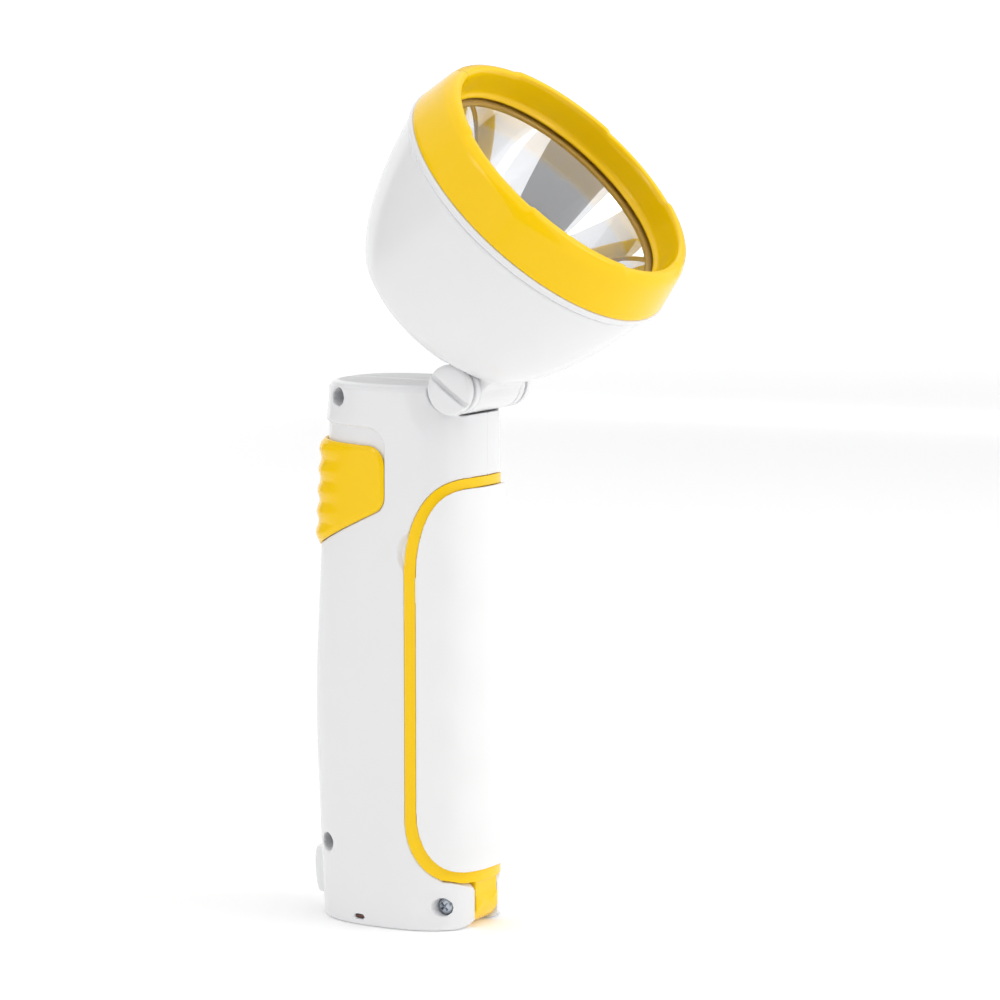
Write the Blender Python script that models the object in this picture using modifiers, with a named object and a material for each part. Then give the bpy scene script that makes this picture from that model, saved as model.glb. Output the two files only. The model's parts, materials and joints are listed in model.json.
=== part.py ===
"""Rechargeable hand torch with a tilting round head, a slide switch and a fold-out grip lamp.

The frame: +Z is up, -Y is the front (the beam and the finger grooves), +Y the back (the
switch), and X runs across. The origin is the middle of the underside of the body, and the
torch stands on it. Sizes below are in millimetres; MM turns them into Blender's metres.
Pieces are placed by parenting to one empty for each joint, which sits on the joint's axis.
"""

import math

import bmesh
import bpy
from mathutils import Matrix, Vector

MM = 0.001
GAP = 0.3                       # clearance between neighbouring pieces

# Body: an oval column, taller than it is deep, split down the middle into two shells.
BODY_HEIGHT = 155.0
HALF_WIDTH = 20.0
FRONT_Y = -25.4
BACK_KNOTS = ((0.0, 25.2), (30.0, 26.8), (62.0, 27.9), (100.0, 26.2), (142.0, 23.7), (155.0, 22.6))
OVAL_POWER = 2.5                # 2 is an ellipse, more is squarer
RING_POINTS = 36
WALL = 2.0
FLOOR = 2.4
BASE_ROUND = 1.0
TOP_ROUND = 2.6
SEAM_TONGUE = 3.0               # the left shell's floor reaches this far past the middle
TONGUE_FRONT = -14.0
TONGUE_BACK = 16.0

# Head hinge: a barrel across the front of the body's top edge.
PIVOT_Y = -22.8
PIVOT_Z = 154.2
BARREL_RADIUS = 7.2
NECK_HALF = 11.3
EAR_INNER = 11.8
EAR_OUTER = 14.6
CAP_OUTER = 17.3
BOLT_RADIUS = 2.0
HEAD_TILT = 45.0                # degrees from straight up, at rest

# Head, measured along its own axis from the joint line between bowl and bezel.
HEAD_RISE = 50.4                # joint line above the pivot when the head is upright
HEAD_OFFSET = 22.5              # head axis behind the pivot when the head is upright
BOWL_RADIUS = 43.9
BOWL_DEPTH = 45.2
BOWL_FORM_DEPTH = 51.1
BOWL_FORM_POWER = 1.2
BOWL_FORM_ROOT = 3.9
BOWL_WALL = 2.4
BOWL_BACK_WALL = 3.6
LIP_RADIUS = 44.6
LENS_RADIUS = 39.0
APERTURE_RADIUS = 35.8
FOCAL_LENGTH = 7.9
REFLECTOR_APEX = -36.0
REFLECTOR_TOP = 1.7
REFLECTOR_HOLE = 5.5
HEAD_SEGMENTS = 40

# Grip panel: folds forward about a cross axis at the foot of the body's front.
PANEL_PIVOT_Y = -18.8
PANEL_PIVOT_Z = 6.8
KNUCKLE_RADIUS = 6.6
KNUCKLE_HALF = 5.8
CHEEK_RADIUS = 7.5              # larger than the pivot's height, so the foot keeps a straight front edge
PANEL_SWEEP = 7.9               # panel parts beside the knuckle stay outside this radius
PANEL_EDGE = {"back": -9.6, "top": 129.0, "top_start": 102.0, "foot": 13.3, "foot_start": 31.5}
COVER_EDGE = {"back": -12.65, "top": 126.3, "top_start": 101.0, "foot": 16.6, "foot_start": 34.0}
PANEL_WALL = 2.4
GROOVE_PITCH = 23.5
FIRST_GROOVE_CREST = 98.5
GROOVE_DEPTH = 1.2
COVER_BULGE = 2.1
COVER_WALL = 2.2
LAMP_LEDS = 6
LAMP_FOOT = 40.0
LAMP_TOP = 96.0

# Switch: a cap wrapped round the back that slides up.
SWITCH_TRAVEL = 5.0
SWITCH_OUTLINE = ((40.0, 138.8), (-3.4, 137.5), (-3.4, 120.2), (40.0, 99.9))
SWITCH_CORNERS = (0.0, 5.5, 5.0, 0.0)
RECESS_DEPTH = 0.8
RIDGE_PITCH = 6.0
LOWEST_RIDGE = 111.3
RIDGE_COUNT = 5
RIDGE_HEIGHT = 0.7
STEM_HALF = 2.2
STEM_FOOT = 121.0
STEM_TOP = 127.0

# Screws enter from the left: (y, z) of each, and how deep its well goes.
TOP_SCREW = (13.5, 150.6)
BACK_SCREW = (18.4, 22.2)
HINGE_SCREW = (PANEL_PIVOT_Y, PANEL_PIVOT_Z)
CASE_WELL_FLOOR = -7.5
HINGE_WELL_FLOOR = -11.0
WELL_RADIUS = 2.6
BOSS_RADIUS = 4.2
SCREW_HEAD_RADIUS = 2.3
SCREW_HEAD_HEIGHT = 1.6
SCREW_SHANK_RADIUS = 1.2
BORE_END = 14.0

# Finger notches: a shallow scoop in each side, just behind the edge of the grip panel.
NOTCH_CENTRE = (33.9, -17.1, 107.8)
NOTCH_RADIUS = 17.4

# Charging port at the back of the foot, under a hinged cover.
PORT_Z = 13.2
PORT_RADIUS = 3.4
COVER_HALF = 8.0
COVER_FOOT = 7.0
COVER_TOP = 20.0
COVER_PROUD = 3.2
INDICATOR_Y = (3.7, 7.3)        # the charge light's slot in the left side
INDICATOR_Z = (1.8, 3.2)

FAR = 60.0                      # cutters run this far past the part

WHITE = (0.86, 0.86, 0.87)
YELLOW = (0.90, 0.56, 0.01)
CHROME = (0.82, 0.82, 0.84)
STEEL = (0.55, 0.56, 0.58)
CLEAR = (0.93, 0.95, 0.96)
GREEN = (0.03, 0.22, 0.10)
DARK = (0.03, 0.03, 0.035)


# ---------------------------------------------------------------- scene and materials

def clear_scene():
    for old in list(bpy.data.objects):
        bpy.data.objects.remove(old, do_unlink=True)


def new_collection(name):
    collection = bpy.data.collections.new(name)
    bpy.context.scene.collection.children.link(collection)
    return collection


def material(name, colour, roughness, metallic=0.0):
    made = bpy.data.materials.get(name)
    if made:
        return made
    made = bpy.data.materials.new(name)
    made.use_nodes = True
    shader = made.node_tree.nodes["Principled BSDF"]
    shader.inputs["Base Color"].default_value = (*colour, 1.0)
    shader.inputs["Roughness"].default_value = roughness
    shader.inputs["Metallic"].default_value = metallic
    made.diffuse_color = (*colour, 1.0)
    return made


def white_plastic():
    return material("white_plastic", WHITE, 0.25)


def yellow_plastic():
    return material("yellow_plastic", YELLOW, 0.25)


def chrome():
    return material("chrome", CHROME, 0.06, 1.0)


def steel():
    return material("steel", STEEL, 0.3, 1.0)


def circuit_board():
    return material("board_green", GREEN, 0.5)


def dark_plastic():
    return material("dark_plastic", DARK, 0.5)


def clear_plastic():
    return material("clear_plastic", CLEAR, 0.08)


def empty_at(name, y, z, tilt=0.0):
    """An empty on a joint's axis; the joint's moving pieces hang under it."""
    empty = bpy.data.objects.new(name, None)
    empty.location = (0.0, y * MM, z * MM)
    empty.rotation_euler = (math.radians(tilt), 0.0, 0.0)
    PARTS.objects.link(empty)
    return empty


def add_piece(name, bm, finish, parent=None, origin=(0.0, 0.0, 0.0)):
    """A piece from a bmesh in millimetres, measured in its parent's upright frame."""
    if bm.calc_volume(signed=True) < 0:
        bmesh.ops.reverse_faces(bm, faces=bm.faces)
    bm.transform(Matrix.Scale(MM, 4) @ Matrix.Translation(-Vector(origin)))
    mesh = bpy.data.meshes.new(name)
    bm.to_mesh(mesh)
    bm.free()
    piece = bpy.data.objects.new(name, mesh)
    if finish:
        mesh.materials.append(finish)
        PARTS.objects.link(piece)
    else:
        CUTTERS.objects.link(piece)
        piece.hide_render = True
        piece.display_type = "WIRE"
    piece.location = Vector(origin) * MM
    if parent:
        piece.parent = parent
    mesh.shade_smooth()
    mesh.set_sharp_from_angle(angle=math.radians(35))
    return piece


def add_cutter(name, bm, parent=None):
    return add_piece(name, bm, None, parent)


def combine(piece, other, operation="DIFFERENCE"):
    step = piece.modifiers.new(f"{operation.lower()}_{other.name}", "BOOLEAN")
    step.operation = operation
    step.solver = "EXACT"
    step.object = other


# ---------------------------------------------------------------- shapes, in millimetres

def back_y(z):
    """The back of the body at a height: a smooth curve through BACK_KNOTS."""
    knots = BACK_KNOTS
    last = len(knots) - 1
    k = max(i for i in range(last) if i == 0 or z >= knots[i][0])
    slopes = []
    for i in (k, k + 1):
        before, after = knots[max(i - 1, 0)], knots[min(i + 1, last)]
        slopes.append((after[1] - before[1]) / (after[0] - before[0]))
    (z0, y0), (z1, y1) = knots[k], knots[k + 1]
    span = z1 - z0
    t = min(max((z - z0) / span, 0.0), 1.0)
    rise = y0 * (1 + 2 * t) * (1 - t) ** 2 + y1 * t * t * (3 - 2 * t)
    return rise + span * (slopes[0] * t * (1 - t) ** 2 - slopes[1] * t * t * (1 - t))


def oval_point(angle, z, offset=0.0):
    """A point of the body's oval at a height, moved out by offset; angle 0 is +X."""
    depth = (back_y(z) - FRONT_Y) / 2
    middle = (back_y(z) + FRONT_Y) / 2
    cos, sin = math.cos(angle), math.sin(angle)
    power = 2 / OVAL_POWER
    x = HALF_WIDTH * math.copysign(abs(cos) ** power, cos)
    y = depth * math.copysign(abs(sin) ** power, sin)
    bend = OVAL_POWER - 1
    out_x = math.copysign(abs(x / HALF_WIDTH) ** bend, x) / HALF_WIDTH
    out_y = math.copysign(abs(y / depth) ** bend, y) / depth
    size = math.hypot(out_x, out_y)
    return Vector((x + offset * out_x / size, middle + y + offset * out_y / size, z))


def oval_ring(z, offset=0.0):
    """offset is a distance, or a function of the angle and the height."""
    ring = []
    for i in range(RING_POINTS):
        angle = math.tau * i / RING_POINTS
        out = offset(angle, z) if callable(offset) else offset
        ring.append(oval_point(angle, z, out))
    return ring


def loft(rings):
    """A closed solid through rings of equal point counts, lowest first."""
    bm = bmesh.new()
    loops = [[bm.verts.new(point) for point in ring] for ring in rings]
    for low, high in zip(loops, loops[1:]):
        for i in range(len(low)):
            j = (i + 1) % len(low)
            bm.faces.new((low[i], low[j], high[j], high[i]))
    bm.faces.new(reversed(loops[0]))
    bm.faces.new(loops[-1])
    return bm


def heights(low, high, step):
    count = max(1, round((high - low) / step))
    return [low + (high - low) * i / count for i in range(count + 1)]


def oval_column(low, high, offset=0.0, step=14.0):
    return loft([oval_ring(z, offset) for z in heights(low, high, step)])


def body_form():
    """The whole outer form of the body, with its rounded foot and top edges."""
    rings = [
        oval_ring(0.0, -BASE_ROUND),
        oval_ring(0.3 * BASE_ROUND, -0.3 * BASE_ROUND),
        oval_ring(BASE_ROUND),
    ]
    rings += [oval_ring(z) for z in heights(8.0, BODY_HEIGHT - TOP_ROUND, 14.0)]
    for turn in (30, 60, 90):
        angle = math.radians(turn)
        rings.append(oval_ring(BODY_HEIGHT - TOP_ROUND * (1 - math.sin(angle)),
                               -TOP_ROUND * (1 - math.cos(angle))))
    return loft(rings)


def box(low, high):
    bm = bmesh.new()
    bmesh.ops.create_cube(bm, size=1.0)
    size = Vector(high) - Vector(low)
    middle = (Vector(high) + Vector(low)) / 2
    bm.transform(Matrix.Translation(middle) @ Matrix.Diagonal((*size, 1.0)))
    return bm


def rod_x(y, z, radius, x_low, x_high, segments=32):
    """A cylinder lying across the torch."""
    bm = bmesh.new()
    bmesh.ops.create_cone(bm, cap_ends=True, segments=segments, radius1=radius,
                          radius2=radius, depth=x_high - x_low)
    place = Matrix.Translation(((x_low + x_high) / 2, y, z))
    bm.transform(place @ Matrix.Rotation(math.pi / 2, 4, "Y"))
    return bm


def rod_y(z, radius, y_low, y_high, segments=24):
    """A cylinder running front to back on the middle plane."""
    bm = bmesh.new()
    bmesh.ops.create_cone(bm, cap_ends=True, segments=segments, radius1=radius,
                          radius2=radius, depth=y_high - y_low)
    place = Matrix.Translation((0.0, (y_low + y_high) / 2, z))
    bm.transform(place @ Matrix.Rotation(math.pi / 2, 4, "X"))
    return bm


def ball(centre, radius, segments=32):
    bm = bmesh.new()
    bmesh.ops.create_uvsphere(bm, u_segments=segments, v_segments=segments // 2, radius=radius)
    bm.transform(Matrix.Translation(centre))
    return bm


def slab_x(outline, x_low, x_high):
    """A side outline of (y, z) points, extruded across the torch."""
    bm = bmesh.new()
    face = bm.faces.new([bm.verts.new((x_low, y, z)) for y, z in outline])
    grown = bmesh.ops.extrude_face_region(bm, geom=[face])["geom"]
    moved = [item for item in grown if isinstance(item, bmesh.types.BMVert)]
    bmesh.ops.translate(bm, verts=moved, vec=(x_high - x_low, 0.0, 0.0))
    return bm


def filleted(points, radii, steps=5):
    """An outline with each corner rounded to its own radius."""
    outline = []
    for i, (corner, radius) in enumerate(zip(points, radii)):
        here = Vector(corner)
        if radius == 0:
            outline.append(tuple(here))
            continue
        before = (Vector(points[i - 1]) - here).normalized()
        after = (Vector(points[(i + 1) % len(points)]) - here).normalized()
        half = before.angle(after) / 2
        centre = here + (before + after).normalized() * radius / math.sin(half)
        start = here + before * radius / math.tan(half) - centre
        end = here + after * radius / math.tan(half) - centre
        turn = start.angle_signed(end)
        for k in range(steps + 1):
            outline.append(tuple(centre + Matrix.Rotation(-turn * k / steps, 2) @ start))
    return outline


def panel_outline(edge, inset=0.0, steps=8):
    """The side view of the grip panel: straight at the back, a quarter oval at each end."""
    back, top, foot = edge["back"] - inset, edge["top"] - inset, edge["foot"] + inset
    reach = back - FRONT_Y
    outline = [(-FAR, top)]
    for i in range(steps + 1):
        angle = math.pi / 2 * (1 - i / steps)
        outline.append((FRONT_Y + reach * math.cos(angle),
                        edge["top_start"] + (top - edge["top_start"]) * math.sin(angle)))
    for i in range(steps + 1):
        angle = math.pi / 2 * i / steps
        outline.append((FRONT_Y + reach * math.cos(angle),
                        edge["foot_start"] - (edge["foot_start"] - foot) * math.sin(angle)))
    outline.append((-FAR, foot))
    return outline


def switch_outline(grow, lift=0.0):
    """The side view of the switch cap; lift stretches it upward by the travel."""
    top_back, top_front, foot_front, foot_back = SWITCH_OUTLINE
    points = (
        (top_back[0], top_back[1] + grow + lift),
        (top_front[0] - grow, top_front[1] + grow + lift),
        (foot_front[0] - grow, foot_front[1] - grow),
        (foot_back[0], foot_back[1] - grow),
    )
    radii = [radius + grow if radius else 0.0 for radius in SWITCH_CORNERS]
    return filleted(points, radii)


def smooth_step(value):
    t = min(max(value, 0.0), 1.0)
    return t * t * (3 - 2 * t)


def grip_bulge(angle, z):
    """How far the grip cover stands out of the body's oval, with its finger grooves."""
    front = smooth_step((-math.sin(angle) - 0.40) / 0.50)
    ends = smooth_step((COVER_EDGE["top"] + 2 - z) / 20) * smooth_step((z - COVER_EDGE["foot"] + 6) / 14)
    crest = math.cos(math.tau * (z - FIRST_GROOVE_CREST) / GROOVE_PITCH)
    return 0.3 + front * (0.9 + ends * (COVER_BULGE - 0.9 + crest * GROOVE_DEPTH / 2))


def turned(name, profile, finish, segments, parent=None, centre=(0.0, 0.0, 0.0), across=False, closed=True):
    """A turned piece: (radius, height) points, down the outer side and back up the inner."""
    bm = bmesh.new()
    points = [bm.verts.new((radius * MM, 0.0, height * MM)) for radius, height in profile]
    for first, second in zip(points, points[1:]):
        bm.edges.new((first, second))
    if closed:
        bm.edges.new((points[-1], points[0]))
    mesh = bpy.data.meshes.new(name)
    bm.to_mesh(mesh)
    bm.free()
    piece = bpy.data.objects.new(name, mesh)
    if finish:
        mesh.materials.append(finish)
        PARTS.objects.link(piece)
    else:
        CUTTERS.objects.link(piece)
        piece.hide_render = True
        piece.display_type = "WIRE"
    piece.location = Vector(centre) * MM
    if across:
        piece.rotation_euler = (0.0, math.pi / 2, 0.0)
    piece.parent = parent
    spin = piece.modifiers.new("turn", "SCREW")
    spin.axis = "Z"
    spin.steps = spin.render_steps = segments
    spin.use_merge_vertices = True
    spin.merge_threshold = 0.00001
    spin.use_smooth_shade = True
    return piece


# ---------------------------------------------------------------- body

def body_cavity():
    """The hollow inside the body: walls are left round the panel, hinges and screw bosses."""
    hollow = add_cutter("body_hollow", oval_column(FLOOR, BODY_HEIGHT - FLOOR, -WALL))
    keep = (
        ("keep_panel", slab_x(panel_outline(PANEL_EDGE, -WALL - GAP), -FAR, FAR)),
        ("keep_hinge", rod_x(PIVOT_Y, PIVOT_Z, BARREL_RADIUS + 2.6, -FAR, FAR)),
        ("keep_cheeks", rod_x(*HINGE_SCREW, CHEEK_RADIUS + 1.6, -FAR, FAR)),
        ("keep_top_boss", rod_x(*TOP_SCREW, BOSS_RADIUS, -FAR, FAR)),
        ("keep_back_boss", rod_x(*BACK_SCREW, BOSS_RADIUS, -FAR, FAR)),
    )
    for name, bm in keep:
        combine(hollow, add_cutter(name, bm))
    return hollow


def foot_corner():
    """What is cut off the front of the foot so that the cheeks are round."""
    top = PANEL_EDGE["foot"] + 3.5
    corner = add_cutter("foot_corner", box((-FAR, -FAR, -5.0), (FAR, PANEL_PIVOT_Y, top)))
    combine(corner, add_cutter("cheek_round", rod_x(*HINGE_SCREW, CHEEK_RADIUS, -FAR, FAR, 40)))
    return corner


def switch_recess():
    """The shallow track that the switch cap slides in."""
    lift = SWITCH_TRAVEL
    track = add_cutter("switch_track", slab_x(switch_outline(GAP, lift), -FAR, FAR))
    combine(track, add_cutter("track_floor", oval_column(90.0, 160.0, -RECESS_DEPTH)))
    return track


def half_space(side):
    """Everything on the other side of the seam, which laps under at the floor."""
    if side < 0:
        cutter = add_cutter("beyond_left", box((-GAP / 2, -FAR, -5.0), (FAR, FAR, 200.0)))
        tongue = box((-1.0, TONGUE_FRONT, -6.0), (SEAM_TONGUE, TONGUE_BACK, FLOOR))
        combine(cutter, add_cutter("floor_tongue", tongue))
        return cutter
    cutter = add_cutter("beyond_right", box((-FAR, -FAR, -5.0), (GAP / 2, FAR, 200.0)))
    rebate = box((-1.0, TONGUE_FRONT - GAP, -6.0), (SEAM_TONGUE + GAP, TONGUE_BACK + GAP, FLOOR + GAP))
    combine(cutter, add_cutter("floor_rebate", rebate), "UNION")
    return cutter


def hinge_seats():
    """Room for the head's neck between the ears, and for the caps outside them."""
    spans = (
        ("neck_seat", BARREL_RADIUS + 0.5, -EAR_INNER + 0.1, EAR_INNER - 0.1),
        ("left_cap_seat", BARREL_RADIUS + GAP, -FAR, -EAR_OUTER),
        ("right_cap_seat", BARREL_RADIUS + GAP, EAR_OUTER, FAR),
    )
    return [add_cutter(name, rod_x(PIVOT_Y, PIVOT_Z, *span)) for name, *span in spans]


def make_housings():
    hollow = body_cavity()
    corner = foot_corner()
    track = switch_recess()
    seats = hinge_seats()
    panel_bay = add_cutter("panel_bay", slab_x(panel_outline(PANEL_EDGE), -FAR, FAR))
    bay_half = KNUCKLE_HALF + GAP
    knuckle_bay = add_cutter("knuckle_bay", rod_x(*HINGE_SCREW, CHEEK_RADIUS + 0.2, -bay_half, bay_half))
    stem_slot = add_cutter("stem_slot", box((-STEM_HALF - 0.4, 10.0, STEM_FOOT - 0.5),
                                            (STEM_HALF + 0.4, 40.0, STEM_TOP + SWITCH_TRAVEL + 0.5)))
    port_hole = add_cutter("port_hole", rod_y(PORT_Z, PORT_RADIUS + 0.4, 12.0, 40.0))
    pivot_bore = add_cutter("pivot_bore", rod_x(PIVOT_Y, PIVOT_Z, BOLT_RADIUS + 0.2, -FAR, FAR))
    indicator_slot = add_cutter("indicator_slot", box((-FAR, INDICATOR_Y[0], INDICATOR_Z[0]),
                                                      (-15.0, INDICATOR_Y[1], INDICATOR_Z[1])))
    screws = (("top", TOP_SCREW, CASE_WELL_FLOOR), ("back", BACK_SCREW, CASE_WELL_FLOOR),
              ("hinge", HINGE_SCREW, HINGE_WELL_FLOOR))
    pilot = SCREW_SHANK_RADIUS + 0.2
    bores = [add_cutter(f"bore_{name}", rod_x(*spot, pilot, -FAR, BORE_END, 16)) for name, spot, _ in screws]
    wells = [add_cutter(f"well_{name}", rod_x(*spot, WELL_RADIUS, -FAR, floor, 24))
             for name, spot, floor in screws]
    shared = (panel_bay, knuckle_bay, corner, track, pivot_bore, stem_slot, port_hole, *bores)
    for side, name in ((-1, "left"), (1, "right")):
        shell = add_piece(f"housing_{name}", body_form(), white_plastic())
        ear_low, ear_high = sorted((side * EAR_INNER, side * EAR_OUTER))
        ear = add_cutter(f"ear_{name}", rod_x(PIVOT_Y, PIVOT_Z, BARREL_RADIUS, ear_low, ear_high))
        notch_x, notch_y, notch_z = NOTCH_CENTRE
        notch = add_cutter(f"notch_{name}", ball((side * notch_x, notch_y, notch_z), NOTCH_RADIUS))
        for cutter in (half_space(side), hollow, *seats):
            combine(shell, cutter)
        combine(shell, ear, "UNION")
        for cutter in (*shared, notch):
            combine(shell, cutter)
        if side < 0:
            for cutter in (*wells, indicator_slot):
                combine(shell, cutter)


def make_screw(name, y, z, well_floor, length):
    """A cross-head screw lying across the torch, its head towards -X."""
    head_x = well_floor - SCREW_HEAD_HEIGHT - GAP
    profile = (
        (0.0, length),
        (0.75 * SCREW_SHANK_RADIUS, length),
        (SCREW_SHANK_RADIUS, length - 1.0),
        (SCREW_SHANK_RADIUS, SCREW_HEAD_HEIGHT),
        (SCREW_HEAD_RADIUS, SCREW_HEAD_HEIGHT),
        (SCREW_HEAD_RADIUS, 0.6),
        (SCREW_HEAD_RADIUS * 0.7, 0.15),
        (0.0, 0.0),
    )
    screw = turned(name, profile, steel(), 20, centre=(head_x, y, z), across=True, closed=False)
    for turn in (45, 135):
        arm = box((-0.1, -1.5, -0.35), (1.0, 1.5, 0.35))
        arm.transform(Matrix.Translation((head_x, y, z)) @ Matrix.Rotation(math.radians(turn), 4, "X"))
        combine(screw, add_cutter(f"{name}_cross_{turn}", arm))


def make_screws():
    make_screw("case_screw_top", *TOP_SCREW, CASE_WELL_FLOOR, 20.0)
    make_screw("case_screw_back", *BACK_SCREW, CASE_WELL_FLOOR, 20.0)
    make_screw("panel_hinge_screw", *HINGE_SCREW, HINGE_WELL_FLOOR, 25.0)


# ---------------------------------------------------------------- head hinge hardware

def make_pivot():
    cap_radius = BARREL_RADIUS - 0.2
    inner = EAR_OUTER + GAP
    thick = CAP_OUTER - inner
    for side, name in ((-1, "pivot_cap"), (1, "pivot_nut_cap")):
        dome = ((0.0, thick + 0.5), (cap_radius * 0.5, thick + 0.4), (cap_radius * 0.8, thick + 0.05),
                (cap_radius * 0.94, thick - 0.6), (cap_radius, thick - 1.4), (cap_radius, 0.0), (0.0, 0.0))
        cap = turned(name, dome, white_plastic(), 40, centre=(side * inner, PIVOT_Y, PIVOT_Z), closed=False)
        cap.rotation_euler = (0.0, side * math.pi / 2, 0.0)
        if side < 0:
            slot = box((-FAR, -FAR, -0.8), (-inner - thick + 1.3, FAR, 0.8))
            turn = Matrix.Rotation(math.radians(36), 4, "X")
            slot.transform(Matrix.Translation((0.0, PIVOT_Y, PIVOT_Z)) @ turn)
            combine(cap, add_cutter("coin_slot", slot))
    add_piece("pivot_bolt", rod_x(PIVOT_Y, PIVOT_Z, BOLT_RADIUS, -EAR_OUTER, EAR_OUTER, 24), steel())
    for side, name in ((-1, "left"), (1, "right")):
        inner_face, outer_face = side * (NECK_HALF + 0.12), side * (EAR_INNER - 0.12)
        low, high = sorted((inner_face, outer_face))
        ring = ((5.6, high - low), (5.6, 0.0), (BOLT_RADIUS + 0.3, 0.0), (BOLT_RADIUS + 0.3, high - low))
        turned(f"friction_washer_{name}", ring, steel(), 24, centre=(low, PIVOT_Y, PIVOT_Z), across=True)


# ---------------------------------------------------------------- head

def bowl_radius(depth):
    """Outer radius of the bowl at a depth behind the joint line."""
    return BOWL_RADIUS * (1 - (depth / BOWL_FORM_DEPTH) ** BOWL_FORM_POWER) ** (1 / BOWL_FORM_ROOT)


def bowl_profile():
    corner = 3.0
    outer = [(LIP_RADIUS - 0.4, 0.0), (LIP_RADIUS, -0.5), (LIP_RADIUS, -1.7), (bowl_radius(2.4), -2.4)]
    outer += [(bowl_radius(depth), -depth) for depth in (9.0, 16.0, 23.0, 30.0, 36.0, 40.0)]
    outer += [(bowl_radius(42.5), -42.5), (bowl_radius(BOWL_DEPTH) - 0.6, -BOWL_DEPTH + 0.9),
              (bowl_radius(BOWL_DEPTH) - corner, -BOWL_DEPTH), (0.0, -BOWL_DEPTH - 0.6)]
    floor = BOWL_DEPTH - BOWL_BACK_WALL
    inner = [(0.0, -floor), (bowl_radius(floor) - BOWL_WALL - 3.0, -floor)]
    inner += [(bowl_radius(depth) - BOWL_WALL - 0.02 * depth, -depth)
              for depth in (39.0, 32.0, 22.0, 11.0, 0.0)]
    return inner + outer


def bezel_profile():
    skirt_out, skirt_in, skirt_foot = 40.8, LENS_RADIUS + 0.4, -3.0
    lip_foot = 4.9
    crest = ((38.4, 14.2), (39.9, 14.0), (41.2, 13.1), (42.1, 11.7), (42.6, 9.6), (LIP_RADIUS - 0.3, 0.3))
    skirt = ((skirt_out, 0.3), (skirt_out, skirt_foot), (skirt_in, skirt_foot), (skirt_in, lip_foot))
    throat = ((APERTURE_RADIUS, lip_foot), (APERTURE_RADIUS, 5.6), (36.7, 6.2), (37.8, 13.4))
    return crest + skirt + throat


def reflector_profile():
    """A paraboloid dish with a flange at its mouth and a hole for the lamp."""
    steps = 7
    thick = 1.2
    mouth = math.sqrt(4 * FOCAL_LENGTH * (REFLECTOR_TOP - REFLECTOR_APEX))
    radii = [mouth + (REFLECTOR_HOLE - mouth) * i / steps for i in range(steps + 1)]
    dish = [(radius, REFLECTOR_APEX + radius ** 2 / (4 * FOCAL_LENGTH)) for radius in radii]
    back = [(radius + 0.7 * thick, height - 0.7 * thick) for radius, height in dish[1:]]
    flange = ((LENS_RADIUS - 0.3, REFLECTOR_TOP), (LENS_RADIUS - 0.3, REFLECTOR_TOP - thick),
              (mouth + thick, REFLECTOR_TOP - thick))
    return (*flange, *back, *reversed(dish))


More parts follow.
